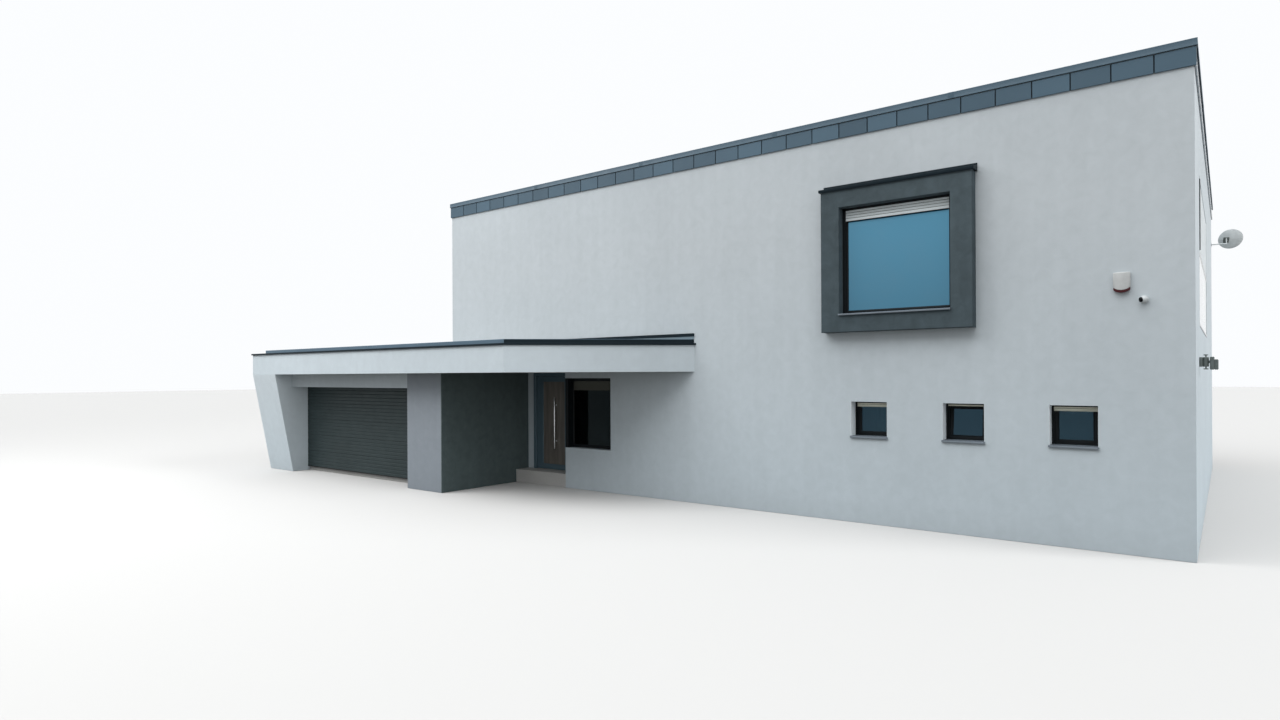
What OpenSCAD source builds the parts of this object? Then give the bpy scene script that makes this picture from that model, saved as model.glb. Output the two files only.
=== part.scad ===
/*
  Detached house: a two-storey flat-roofed block with a metal-clad parapet, and in front of it to the
  left a low wing with a garage, a porch and a folded canopy that ends in a leaning leg.
  Millimetres, +Z up. The front faces -Y and the origin is the middle of the block's footprint,
  at the lowest ground that the walls reach.
*/

/* [Main block] */
// Length of the block's front
house_l = 15320; // [14400:20:18000]
// Depth of the block from front to back
house_w = 12700; // [11700:100:14000]
// Height of the block over the lowest ground
house_h = 6900; // [6700:50:7600]
// Thickness of the outer walls
wall_t = 400; // [300:10:460]
// Height of the ground floor over the lowest ground
ground_floor_z = 300; // [150:10:400]
// Height of the upper floor over the lowest ground
upper_floor_z = 3200; // [3100:10:3300]
// Thickness of the upper floor
upper_floor_t = 300; // [180:10:320]
// Thickness of the roof slab
roof_t = 350; // [200:10:450]
// Depth of the flat roof's tray below the parapet's top
parapet_h = 650; // [450:10:800]

/* [Parapet cladding] */
// Height of the metal band round the top of the walls
band_h = 355; // [250:5:420]
// Height of the cap's face at the top of the band
cap_h = 100; // [60:5:140]
// Thickness of the cladding panels
panel_t = 25; // [15:1:40]
// Pitch of the panels along each wall
panel_pitch = 496.6; // [350:0.1:800]
// Distance of the first joint's middle from the start of each wall
first_panel = 480; // [300:1:700]
// Open joint between two panels
panel_gap = 15; // [4:1:20]
// Thickness of the folded cap
cap_t = 15; // [8:1:25]

/* [Wing] */
// Clear width inside the garage
garage_w = 6000; // [5400:50:6600]
// Clear depth inside the garage, behind its front wall
garage_d = 5600; // [5000:50:6400]
// Thickness of the garage's side and back walls
garage_wall_t = 300; // [200:10:360]
// Thickness of the garage's front wall
garage_front_t = 500; // [400:10:560]
// Height of the garage floor over the lowest ground
garage_floor_z = 100; // [80:5:140]
// Distance of the garage front ahead of the block's front
garage_front = 2150; // [1900:10:2300]
// Distance of the porch's side wall in from the block's left end
porch_wall_in = 2320; // [2100:10:2600]
// Width of the pillar beside the garage door
pillar_w = 1200; // [900:10:1500]
// Height of the garage door's opening
garage_door_h = 2140; // [2000:10:2250]
// Thickness of the garage door's sections
garage_door_t = 60; // [42:1:80]
// Height of one section of the garage door
door_section_h = 428; // [350:1:520]
// Thickness of the dark cladding on the porch's side wall
porch_cladding_t = 20; // [10:1:30]

/* [Canopy] */
// Distance of the canopy's edge ahead of the block's front
canopy_out = 2600; // [2500:10:2900]
// Length of the canopy along its diagonal end, measured along the wall
canopy_run = 2600; // [2000:10:3000]
// Distance of the canopy's right end from the block's left end
canopy_end = 7410; // [7000:10:7800]
// Height of the soffit over the lowest ground
soffit_z = 2570; // [2500:5:2600]
// Thickness of the canopy's slab
canopy_t = 300; // [200:10:340]
// Height of the fascia
fascia_h = 520; // [460:5:620]
// Thickness of the fascia
fascia_t = 200; // [140:10:260]
// Height of the metal coping on the fascia
coping_h = 115; // [60:5:140]
// Height of the drip at the coping's foot
drip_h = 40; // [25:1:60]
// How far the drip stands out past the fascia
coping_out = 30; // [15:1:50]
// Distance of the coping's upper part behind the fascia's face
coping_back = 8; // [0:1:30]
// Distance of the coping's upper part from the leg's outer side
coping_start = 800; // [600:10:1100]
// Height of the flashing above the canopy slab
flashing_h = 450; // [300:10:520]
// Thickness of the flashing
flashing_t = 15; // [8:1:25]
// Height of the flashing's thicker top rail
flashing_rail_h = 35; // [20:1:60]
// Width of the leaning leg
leg_w = 1200; // [900:10:1400]
// Depth of the leg where it meets the soffit
leg_top_d = 900; // [850:10:1000]
// Depth of the leg at the ground
leg_foot_d = 420; // [300:10:600]

/* [Framed window] */
// Distance of the surround's right side from the block's right corner
box_x = 2720; // [2300:10:3200]
// Width of the surround
box_w = 2450; // [2200:10:2700]
// Height of the surround's underside over the lowest ground
box_z = 3215; // [3150:5:3350]
// Height of the surround
box_h = 2400; // [2200:10:2600]
// How far the surround stands out of the wall
box_out = 200; // [120:5:320]
// Width of the surround's side members
box_member = 325; // [250:5:400]
// Height of the surround's top member
box_head = 300; // [220:5:400]
// Height of the surround's bottom member
box_foot = 290; // [220:5:360]
// Height of the cap's front face
box_cap_t = 55; // [40:5:90]
// How much higher the cap is at the wall
box_cap_rise = 88; // [40:1:120]
// How far the cap stands out past the surround
box_cap_out = 30; // [10:1:50]
// Distance of the window behind the surround's face
box_recess = 190; // [110:5:250]
// Width of the window's frame members
box_frame = 75; // [60:1:90]
// How far the roller shutter hangs below the surround's top member
shutter_drop = 225; // [150:5:600]
// Width of the roller shutter's guide rails
guide_w = 55; // [40:1:55]
// Height of the dark slot that the shutter comes out of
slot_h = 38; // [25:1:60]

/* [Small windows] */
// Number of small windows in a row
small_n = 3; // [2:1:4]
// Width of a small window
small_w = 616; // [500:2:700]
// Height of a small window
small_h = 600; // [500:10:700]
// Pitch of the small windows
small_pitch = 1500; // [1200:10:1600]
// Distance of the first small window's middle from the right corner
small_x = 1418; // [1200:2:1700]
// Height of the small windows' underside over the lowest ground
small_z = 1440; // [1300:10:1500]
// Depth of the small windows' recesses
small_recess = 230; // [120:5:260]
// Depth of the other window recesses
recess = 180; // [120:5:220]
// Width of a plain window frame's members
frame_w = 65; // [45:1:80]
// Width of a small window's outer frame and of its sash together
small_frame_w = 86; // [76:1:110]
// Angle that the middle small window is tilted open
tilt = 7; // [0:0.5:10]
// Depth of a window frame
frame_d = 75; // [60:1:90]
// Thickness of the glass units
glass_t = 28; // [20:1:36]
// Thickness of the window sills
sill_t = 22; // [12:1:35]
// How far the sills stand out of the wall
sill_out = 35; // [20:1:60]
// How far a sill's nose passes its opening on each side
sill_past = 10; // [0:1:40]
// Height of the shutter strip in a small window
small_shutter_h = 85; // [50:5:140]
// Height of the shutter strip in a tilted small window
tilted_shutter_h = 45; // [40:5:140]
// Width of a small window's shutter guides
small_guide_w = 25; // [15:1:35]

/* [Entrance] */
// Distance of the door element's left side from the porch wall
door_in = 200; // [120:10:260]
// Width of the door element
door_w = 1200; // [1050:10:1260]
// Width of the door frame's members
door_frame_w = 80; // [60:1:100]
// Depth of the door frame
door_frame_d = 100; // [80:1:120]
// Thickness of the door leaf
leaf_t = 68; // [50:1:70]
// Gap round the door leaf
leaf_gap = 6; // [5:0.5:10]
// Height of the gap under the door leaf
leaf_foot_gap = 8; // [5:0.5:15]
// Thickness of the walls beside the door
entrance_wall_t = 300; // [200:10:340]
// Distance from the porch wall to the end of the front wall
niche_w = 1620; // [1560:10:1700]
// Width of the window beside the door
entrance_window_w = 1320; // [1100:10:1500]
// Height of that window's underside over the lowest ground
entrance_window_z = 900; // [700:10:1100]
// Height of that window's top over the lowest ground
entrance_window_top = 2445; // [2300:5:2480]
// Width of the post that carries that window's corner
corner_post = 80; // [60:1:120]
// Radius of the door's pull bar
pull_r = 17; // [12:0.5:22]
// Length of the pull bar
pull_l = 1200; // [800:10:1600]
// Distance of the pull bar from the leaf's face
pull_out = 55; // [45:1:80]
// Distance of the pull bar from the leaf's free edge
pull_in = 400; // [120:10:500]
// Width of the leaf's recessed middle panel
panel_w = 580; // [400:10:680]
// Depth of the middle panel's recess
panel_in = 6; // [3:1:12]
// Radius of the hinge knuckles
knuckle_r = 12; // [9:0.5:16]
// Length of one hinge knuckle
knuckle_l = 60; // [40:1:90]
// Radius of the hinge pins
pin_r = 6; // [4:0.5:7]
// Running gap round a pin and between knuckles
pin_gap = 0.3; // [0.2:0.05:0.5]

/* [Right side] */
// Distance of the tall window from the front corner
side_window_y = 1900; // [1000:10:2200]
// Width of the tall window
side_window_w = 4800; // [3600:50:5400]
// Depth of the tall window's recess
side_recess = 110; // [80:5:220]
// Height of the tall window's opening
tall_h = 2300; // [2100:10:2350]
// Height of the glass balustrade over the upper floor
balustrade_h = 1160; // [900:10:1200]
// Thickness of the balustrade's glass
balustrade_t = 18; // [12:1:24]

/* [Rear and left windows] */
// Number of windows along the back in each storey
rear_n = 3; // [2:1:4]
// Width of a rear window
rear_w = 2400; // [2000:50:2700]
// Height of the garden doors in the back wall
garden_door_h = 2200; // [2000:10:2300]
// Height of a window's sill over its floor
sill_up = 900; // [800:10:1000]
// Height of the upper rear and left windows
rear_h = 1400; // [1200:10:1450]
// Number of windows in the left wall
left_n = 2; // [1:1:3]
// Width of a left window
left_w = 1200; // [900:50:1500]

/* [Fittings] */
// Distance of the siren's middle from the right corner
siren_x = 820; // [650:1:1000]
// Height of the siren's underside over the lowest ground
siren_z = 3607; // [3400:1:3900]
// Width of the siren
siren_w = 204; // [180:2:260]
// Height of the siren
siren_h = 285; // [230:1:340]
// How much lower the siren's round foot is at its middle
siren_foot = 44; // [20:1:70]
// Depth of the siren at its middle
siren_d = 75; // [60:1:100]
// Depth of the siren at its sides
siren_side_d = 40; // [25:1:50]
// Height of the siren's red lens
lens_h = 38; // [20:1:50]
// Distance of the camera's middle from the right corner
camera_x = 565; // [420:5:600]
// Height of the camera's middle over the lowest ground
camera_z = 3498; // [3300:1:3700]
// Radius of the camera's ball
camera_r = 50; // [40:1:60]
// Distance of the floodlight from the front corner
lamp_y = 1500; // [1400:10:2200]
// Height of the floodlight over the lowest ground
lamp_z = 2660; // [2400:10:2700]
// Diameter of the satellite dish
dish_d = 525; // [450:5:700]
// Depth of the dish's bowl
dish_depth = 55; // [35:1:80]
// Thickness of the dish's sheet
dish_t = 4; // [3:0.5:8]
// Distance of the dish's arm from the back corner
dish_in = 300; // [200:10:500]
// Distance of the dish's arm below the metal band
dish_drop = 706; // [500:1:900]
// Height of the dish's clamp over the arm
dish_rise = 78; // [50:1:160]
// Distance of the dish's post from the wall
dish_off = 316; // [300:1:460]
// Direction of the dish in plan, turned from the wall's line
dish_turn = 12; // [0:1:25]
// Angle that the dish looks up
dish_up = 28; // [15:1:40]

/* [Hidden] */

$fn = 48;
// How far a cutter passes the surface that it opens
over = 10;

// The block's faces
x_right = house_l / 2;
x_left = -house_l / 2;
y_front = -house_w / 2;
y_back = house_w / 2;
wall_top = house_h - cap_t;
band_z = house_h - band_h;
roof_z = house_h - parapet_h;
upper_ceiling_z = roof_z - roof_t;
ground_ceiling_z = upper_floor_z - upper_floor_t;

// The wing's faces, from left to right and front to back
porch_wall_x = x_left + porch_wall_in;
garage_side_in_x = porch_wall_x - garage_wall_t;
garage_left_in_x = garage_side_in_x - garage_w;
leg_left_x = garage_left_in_x - leg_w;
pillar_x = porch_wall_x - pillar_w;
garage_front_y = y_front - garage_front;
garage_in_y = garage_front_y + garage_front_t;
garage_back_in_y = garage_in_y + garage_d;
garage_back_y = garage_back_in_y + garage_wall_t;
garage_door_top = garage_floor_z + garage_door_h;

// The canopy's outline
canopy_y = y_front - canopy_out;
canopy_right_x = x_left + canopy_end;
canopy_bend_x = canopy_right_x - canopy_run;
canopy_angle = atan2(canopy_out, canopy_run);
canopy_top = soffit_z + canopy_t;
fascia_top = soffit_z + fascia_h;

// The entrance
niche_x = porch_wall_x + niche_w;
entrance_y = y_front + wall_t;
door_x = porch_wall_x + door_in;
leaf_x0 = door_x + door_frame_w + leaf_gap;
leaf_x1 = door_x + door_w - door_frame_w - leaf_gap;
leaf_z0 = ground_floor_z + leaf_foot_gap;
leaf_z1 = soffit_z - door_frame_w - leaf_gap;
leaf_y1 = entrance_y + door_frame_d;
leaf_y0 = leaf_y1 - leaf_t;
hinge_x = leaf_x0 - leaf_gap / 2;
hinge_y = leaf_y1 + knuckle_r;

// A block between two corners
module block(a, b) translate(a) cube(b - a);

// A frame that stands in a wall facing along Y: outer corner, width, height, depth, member width
module frame_y(p, w, h, d, m) {
    translate(p) difference() {
        cube([w, d, h]);
        translate([m, -over, m]) cube([w - 2 * m, d + 2 * over, h - 2 * m]);
    }
}

// Several sashes side by side share their mullions
module sashes_y(p, w, h, d, m, n) {
    pane = (w - (n + 1) * m) / n;
    translate(p) difference() {
        cube([w, d, h]);
        for (i = [0 : n - 1])
            translate([m + i * (pane + m), -over, m]) cube([pane, d + 2 * over, h - 2 * m]);
    }
}

module panes_y(p, w, h, d, m, n, t) {
    pane = (w - (n + 1) * m) / n;
    for (i = [0 : n - 1])
        translate(p + [m + i * (pane + m), (d - t) / 2, m]) cube([pane, t, h - 2 * m]);
}

// Ribbon in plan that follows the canopy's outline, from "outer" past the fascia's outer face to
// "inner" behind it
function ribbon_line(d) = [
    [leg_left_x + d, garage_back_y - d],
    [leg_left_x + d, canopy_y + d],
    [canopy_bend_x - d * tan(canopy_angle / 2), canopy_y + d],
    [diagonal_x(d, 0), y_front]
];
// Where a line "d" behind the fascia's diagonal face is, at a distance from the block's front
function diagonal_x(d, off) = canopy_right_x - d / sin(canopy_angle) - off / tan(canopy_angle);
function reversed(v) = [for (i = [len(v) - 1 : -1 : 0]) v[i]];
function ribbon(outer, inner) = concat(
    [[x_left, garage_back_y - outer]], ribbon_line(outer),
    reversed(ribbon_line(inner)), [[x_left, garage_back_y - inner]]
);

// Slabs

module house_floor_slab() {
    color("#9a9a96") difference() {
        union() {
            block([x_left + wall_t, entrance_y, 0], [x_right - wall_t, y_back - wall_t, ground_floor_z]);
            block([porch_wall_x, y_front, 0], [niche_x, entrance_y + over, ground_floor_z]);
        }
        block([x_left, y_front, -over], [porch_wall_x, garage_back_y, ground_floor_z + over]);
    }
}

module garage_floor_slab() {
    color("#8f8f8c")
        block([garage_left_in_x, garage_in_y, 0], [garage_side_in_x, garage_back_in_y, garage_floor_z]);
}

module upper_floor_slab() {
    color("#b0b0ac")
        block([x_left + wall_t, entrance_y, ground_ceiling_z],
              [x_right - wall_t, y_back - wall_t, upper_floor_z]);
}

module roof_slab() {
    color("#7c7f80")
        block([x_left + wall_t, entrance_y, upper_ceiling_z],
              [x_right - wall_t, y_back - wall_t, roof_z]);
}

// Walls of the block

function small_window_x(i) = x_right - small_x - i * small_pitch - small_w / 2;
opening_x0 = x_right - box_x - box_w + box_member;
opening_x1 = x_right - box_x - box_member;
opening_z0 = box_z + box_foot;
opening_z1 = box_z + box_h - box_head;

module front_wall() {
    color("#d9dad8") difference() {
        block([niche_x, y_front, 0], [x_right, entrance_y, wall_top]);
        for (i = [0 : small_n - 1])
            block([small_window_x(i), y_front - over, small_z],
                  [small_window_x(i) + small_w, entrance_y + over, small_z + small_h]);
        block([opening_x0, y_front - over, opening_z0], [opening_x1, entrance_y + over, opening_z1]);
        block([niche_x - over, y_front - over, entrance_window_z],
              [niche_x + entrance_window_w, entrance_y + over, entrance_window_top]);
    }
}

module front_wall_over_entrance() {
    color("#d9dad8")
        block([x_left, y_front, soffit_z], [niche_x, entrance_y, wall_top]);
}

module entrance_wall() {
    color("#d9dad8") {
        block([porch_wall_x, entrance_y, ground_floor_z],
              [door_x, entrance_y + entrance_wall_t, ground_ceiling_z]);
        block([door_x + door_w, entrance_y, ground_floor_z],
              [niche_x + entrance_wall_t, entrance_y + entrance_wall_t, ground_ceiling_z]);
    }
}

module entrance_lintel() {
    color("#d9dad8")
        block([door_x, entrance_y, soffit_z],
              [door_x + door_w, entrance_y + entrance_wall_t, ground_ceiling_z]);
}

module right_wall() {
    y0 = y_front + side_window_y;
    color("#d9dad8") difference() {
        block([x_right - wall_t, entrance_y, 0], [x_right, y_back - wall_t, wall_top]);
        block([x_right - wall_t - over, y0, upper_floor_z],
              [x_right + over, y0 + side_window_w, upper_floor_z + tall_h]);
    }
}

function rear_window_x(i) = x_left + (i + 0.5) * house_l / rear_n - rear_w / 2;

module back_wall() {
    color("#d9dad8") difference() {
        block([x_left, y_back - wall_t, 0], [x_right, y_back, wall_top]);
        for (i = [0 : rear_n - 1]) {
            block([rear_window_x(i), y_back - wall_t - over, ground_floor_z],
                  [rear_window_x(i) + rear_w, y_back + over, ground_floor_z + garden_door_h]);
            block([rear_window_x(i), y_back - wall_t - over, upper_floor_z + sill_up],
                  [rear_window_x(i) + rear_w, y_back + over, upper_floor_z + sill_up + rear_h]);
        }
    }
}

function left_window_y(i) = y_front + (i + 0.5) * house_w / left_n - left_w / 2;

module left_wall() {
    color("#d9dad8") difference() {
        block([x_left, entrance_y, 0], [x_left + wall_t, y_back - wall_t, wall_top]);
        block([x_left - over, entrance_y - over, -over],
              [x_left + wall_t + over, garage_back_y, soffit_z]);
        for (i = [0 : left_n - 1])
            block([x_left - over, left_window_y(i), upper_floor_z + sill_up],
                  [x_left + wall_t + over, left_window_y(i) + left_w, upper_floor_z + sill_up + rear_h]);
    }
}

// Metal band round the top

// A row of panels along a wall of length l, starting at x = -l / 2, on the face y = 0; its end panels
// pass the wall's ends by "past"
module panel_row(l, past) {
    n = 1 + ceil((l - first_panel - panel_gap) / panel_pitch);
    for (i = [0 : n - 1]) {
        joint = -l / 2 + first_panel + i * panel_pitch;
        x0 = i > 0 ? joint - panel_pitch + panel_gap / 2 : -l / 2 - past;
        x1 = i < n - 1 ? joint - panel_gap / 2 : l / 2 + past;
        block([x0, -panel_t, band_z], [x1, 0, house_h - cap_h]);
    }
}

module parapet_panels() {
    color("#3f4a52") {
        translate([0, y_front, 0]) panel_row(house_l, panel_t);
        translate([0, y_back, 0]) rotate(180) panel_row(house_l, panel_t);
        translate([x_right, 0, 0]) rotate(90) panel_row(house_w, 0);
        translate([x_left, 0, 0]) rotate(-90) panel_row(house_w, 0);
    }
}

// A rectangular ring in plan between two distances from the walls' outer face
module parapet_ring(out, inside, z0, z1) {
    difference() {
        block([x_left - out, y_front - out, z0], [x_right + out, y_back + out, z1]);
        block([x_left + inside, y_front + inside, z0 - over],
              [x_right - inside, y_back - inside, z1 + over]);
    }
}

module parapet_cap() {
    color("#4a555d") difference() {
        parapet_ring(panel_t + cap_t, wall_t + cap_t, house_h - cap_h, house_h);
        parapet_ring(panel_t, wall_t, house_h - cap_h - over, wall_top);
    }
}

// Wing

module garage_left_wall() {
    color("#cfd0ce")
        block([garage_left_in_x - garage_wall_t, canopy_y + leg_top_d, 0],
              [garage_left_in_x, garage_back_y, soffit_z]);
}

module garage_lintel() {
    color("#cfd0ce")
        block([garage_left_in_x, garage_front_y, garage_door_top], [pillar_x, garage_in_y, soffit_z]);
}

module garage_pillar() {
    color("#cfd0ce")
        block([pillar_x, garage_front_y, 0], [porch_wall_x, garage_in_y, soffit_z]);
}

module garage_side_wall() {
    color("#cfd0ce") {
        block([garage_side_in_x, garage_in_y, 0], [porch_wall_x, garage_back_in_y, soffit_z]);
        block([garage_side_in_x, entrance_y, soffit_z - over],
              [porch_wall_x, garage_back_in_y, ground_ceiling_z]);
    }
}

module garage_back_wall() {
    color("#cfd0ce") {
        block([garage_left_in_x, garage_back_in_y, 0], [porch_wall_x, garage_back_y, soffit_z]);
        block([x_left + wall_t, garage_back_in_y, soffit_z - over],
              [porch_wall_x, garage_back_y, ground_ceiling_z]);
    }
}

module porch_wall_cladding() {
    x1 = porch_wall_x + porch_cladding_t;
    color("#3b4045") {
        block([porch_wall_x, garage_front_y, 0], [x1, y_front, soffit_z]);
        block([porch_wall_x, y_front - over, ground_floor_z], [x1, entrance_y, soffit_z]);
    }
}

module garage_door() {
    n = round(garage_door_h / door_section_h);
    section = garage_door_h / n;
    groove = 12;
    color("#3a4249") difference() {
        block([garage_left_in_x, garage_in_y - garage_door_t, garage_floor_z],
              [pillar_x, garage_in_y, garage_door_top]);
        for (i = [1 : n - 1])
            block([garage_left_in_x - over, garage_in_y - garage_door_t - over,
                   garage_floor_z + i * section - groove / 2],
                  [pillar_x + over, garage_in_y - garage_door_t + groove,
                   garage_floor_z + i * section + groove / 2]);
    }
}

// Canopy

module canopy_roof() {
    d = fascia_t;
    color("#a9aaa8") translate([0, 0, soffit_z]) linear_extrude(canopy_t) polygon(concat(
        [[x_left, garage_back_y - d]], ribbon_line(d), [[x_left, y_front]]
    ));
}

module canopy_fascia() {
    color("#d9dad8") translate([0, 0, soffit_z]) linear_extrude(fascia_h)
        polygon(ribbon(0, fascia_t));
}

// A low drip all the way round; the part on top of it stops short of the leg
module canopy_coping() {
    inner = fascia_t + coping_out;
    color("#46515a") translate([0, 0, fascia_top]) {
        linear_extrude(drip_h) polygon(ribbon(-coping_out, inner));
        linear_extrude(coping_h) difference() {
            polygon(ribbon(coping_back, inner));
            translate([leg_left_x - over, canopy_y - over])
                square([coping_start + over, leg_top_d + over]);
        }
    }
}

module canopy_leg() {
    color("#d9dad8") translate([leg_left_x, 0, 0]) rotate([90, 0, 90]) linear_extrude(leg_w)
        polygon([
            [canopy_y + leg_top_d, 0], [canopy_y + leg_top_d, soffit_z],
            [canopy_y, soffit_z], [canopy_y + leg_top_d - leg_foot_d, 0]
        ]);
}

// Its lower part ends just short of the fascia's coping, and the rest passes over the coping
module wall_flashing() {
    rail_t = 2 * flashing_t;
    gap = 2;
    top = canopy_top + flashing_h;
    color("#46515a") {
        block([x_left, y_front - flashing_t, canopy_top],
              [diagonal_x(fascia_t + coping_out, flashing_t) - gap, y_front, top]);
        block([x_left, y_front - flashing_t, fascia_top + coping_h + gap], [canopy_right_x, y_front, top]);
        block([x_left, y_front - rail_t, top - flashing_rail_h], [canopy_right_x, y_front, top]);
    }
}

// Framed window

module window_surround() {
    x0 = x_right - box_x - box_w;
    color("#4a4f55") difference() {
        block([x0, y_front - box_out, box_z], [x0 + box_w, y_front, box_z + box_h]);
        block([opening_x0, y_front - box_out - over, opening_z0], [opening_x1, y_front + over, opening_z1]);
    }
}

// Slopes up to the wall
module window_surround_cap() {
    x0 = x_right - box_x - box_w;
    out = box_out + box_cap_out;
    color("#2f373e") translate([x0 - box_cap_out, y_front, box_z + box_h])
        rotate([90, 0, 90]) linear_extrude(box_w + 2 * box_cap_out)
            polygon([[-out, 0], [0, 0], [0, box_cap_t + box_cap_rise], [-out, box_cap_t]]);
}

// The frame, and in front of it the shutter's guide rails and the slot that the shutter comes out of
main_frame_y = y_front - box_out + box_recess;
guide_d = 30;
module main_window_frame() {
    w = opening_x1 - opening_x0;
    h = opening_z1 - opening_z0;
    color("#22262a") {
        frame_y([opening_x0, main_frame_y, opening_z0], w, h, frame_d, box_frame);
        for (x = [opening_x0, opening_x1 - guide_w])
            block([x, main_frame_y - guide_d, opening_z0 + sill_t], [x + guide_w, main_frame_y, opening_z1]);
        block([opening_x0, main_frame_y - guide_d, opening_z1 - slot_h],
              [opening_x1, main_frame_y, opening_z1]);
    }
}

module main_window_glass() {
    color("#5f8fb0", 0.5)
        panes_y([opening_x0, main_frame_y, opening_z0],
                opening_x1 - opening_x0, opening_z1 - opening_z0, frame_d, box_frame, 1, glass_t);
}

// The lowered part of a roller shutter: slats with a shallow round face
slat_h = 45;
slat_t = 10;
slat_bulge = 4;
module slat_curtain(w, drop) {
    n = max(1, round(drop / slat_h));
    r = (pow(slat_h / 2, 2) + pow(slat_bulge, 2)) / (2 * slat_bulge);
    rotate([90, 0, 90]) linear_extrude(w) for (i = [0 : n - 1]) translate([0, -(i + 0.5) * slat_h]) {
        translate([slat_bulge, -slat_h / 2]) square([slat_t - slat_bulge, slat_h]);
        intersection() {
            translate([r, 0]) circle(r = r, $fn = 96);
            translate([0, -slat_h / 2]) square([slat_bulge, slat_h]);
        }
    }
}

module main_window_shutter() {
    color("#b9bab6") translate([opening_x0 + guide_w, main_frame_y - slat_t - 5, opening_z1 - slot_h])
        slat_curtain(opening_x1 - opening_x0 - 2 * guide_w, shutter_drop - slot_h);
}

// The nose passes the opening on both sides
module main_window_sill() {
    face = y_front - box_out;
    color("#a8acb0") {
        block([opening_x0, face, opening_z0], [opening_x1, main_frame_y, opening_z0 + sill_t]);
        block([opening_x0 - sill_past, face - sill_out, opening_z0 - sill_t / 2],
              [opening_x1 + sill_past, face, opening_z0 + sill_t]);
    }
}

// Small windows

module each_small_window() {
    for (i = [0 : small_n - 1]) translate([small_window_x(i), y_front + small_recess, small_z]) children();
}

// A sash sits inside the outer frame; every second one is tilted open on its bottom edge
outer_w = small_frame_w / 2;
sash_d = frame_d - 10;
module each_small_sash() {
    for (i = [0 : small_n - 1])
        translate([small_window_x(i) + outer_w, y_front + small_recess + 10, small_z + outer_w])
            rotate([i % 2 == 1 ? -tilt : 0, 0, 0]) children();
}
sash_w = small_w - 2 * outer_w;
sash_h = small_h - 2 * outer_w;

module small_window_frames() {
    color("#24282c") {
        each_small_window() frame_y([0, 0, 0], small_w, small_h, frame_d, outer_w);
        each_small_sash() frame_y([0, 0, 0], sash_w, sash_h, sash_d, small_frame_w - outer_w);
    }
}

module small_window_glass() {
    color("#41505c", 0.6) each_small_sash()
        panes_y([0, 0, 0], sash_w, sash_h, sash_d, small_frame_w - outer_w, 1, glass_t);
}

// The curtain hangs between its guides, less far down where the sash is tilted
module small_window_shutters() {
    color("#b7b2a2") for (i = [0 : small_n - 1])
        translate([small_window_x(i) + small_guide_w, y_front + small_recess - slat_t, small_z + small_h])
            slat_curtain(small_w - 2 * small_guide_w, i % 2 == 1 ? tilted_shutter_h : small_shutter_h);
}

module small_window_sills() {
    color("#b4b7ba") each_small_window() {
        block([0, -small_recess, 0], [small_w, 0, sill_t]);
        block([-sill_past, -small_recess - sill_out, -sill_t / 2],
              [small_w + sill_past, -small_recess, sill_t]);
    }
}

// Window beside the door

module entrance_window_frame() {
    h = entrance_window_top - entrance_window_z;
    color("#24282c") union() {
        frame_y([niche_x, y_front + recess, entrance_window_z], entrance_window_w, h, frame_d, frame_w);
        block([niche_x, y_front, entrance_window_z], [niche_x + corner_post, entrance_y, entrance_window_top]);
    }
}

module entrance_window_glass() {
    h = entrance_window_top - entrance_window_z;
    y = y_front + recess + (frame_d - glass_t) / 2;
    color("#2c353c", 0.6)
        block([niche_x + corner_post, y, entrance_window_z + frame_w],
              [niche_x + entrance_window_w - frame_w, y + glass_t, entrance_window_top - frame_w]);
}

// Entrance door

module entrance_door_frame() {
    jamb_x = door_x + door_frame_w;
    color("#2f3e4c") {
        difference() {
            block([door_x, entrance_y, ground_floor_z], [door_x + door_w, leaf_y1, soffit_z]);
            block([jamb_x, entrance_y - over, ground_floor_z - over],
                  [door_x + door_w - door_frame_w, leaf_y1 + over, soffit_z - door_frame_w]);
        }
        for (z = hinge_heights) hinge_half(z, -1);
    }
}

// A hinge half: one knuckle with its plate, and on the frame's side the pin
hinge_heights = [leaf_z0 + 250, (leaf_z0 + leaf_z1) / 2, leaf_z1 - 250];
plate_t = 4;
plate_w = 40;
module hinge_half(z, side) {
    z0 = side < 0 ? z : z + knuckle_l + pin_gap;
    difference() {
        union() {
            translate([hinge_x, hinge_y, z0]) cylinder(r = knuckle_r, h = knuckle_l);
            translate([side < 0 ? hinge_x - plate_w : hinge_x, hinge_y - knuckle_r, z0])
                cube([plate_w, plate_t, knuckle_l]);
        }
        if (side > 0) translate([hinge_x, hinge_y, z0 - over])
            cylinder(r = pin_r + pin_gap, h = knuckle_l + 2 * over);
    }
    if (side < 0) translate([hinge_x, hinge_y, z]) cylinder(r = pin_r, h = 2 * knuckle_l);
}

module entrance_door_leaf() {
    mid = (leaf_x0 + leaf_x1) / 2;
    foot = 120;
    color("#34485a") {
        difference() {
            block([leaf_x0, leaf_y0, leaf_z0], [leaf_x1, leaf_y1, leaf_z1]);
            block([mid - panel_w / 2, leaf_y0 - over, leaf_z0 + foot],
                  [mid + panel_w / 2, leaf_y0 + panel_in, leaf_z1 - foot]);
        }
        for (z = hinge_heights) hinge_half(z, 1);
    }
}

module entrance_door_pull() {
    x = leaf_x1 - pull_in;
    y = leaf_y0 - pull_out;
    z = (leaf_z0 + leaf_z1) / 2 - pull_l / 2;
    color("#c8ccd0") {
        translate([x, y, z]) cylinder(r = pull_r, h = pull_l);
        for (k = [0.15, 0.85]) translate([x, leaf_y0 + panel_in, z + k * pull_l]) rotate([90, 0, 0])
            cylinder(r = pull_r * 0.6, h = pull_out + panel_in);
    }
}

// Tall window on the right side

side_y0 = y_front + side_window_y;
module on_side_window() translate([x_right - side_recess - frame_d, side_y0, upper_floor_z]) rotate(90)
    mirror([0, 1, 0]) children();

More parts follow.
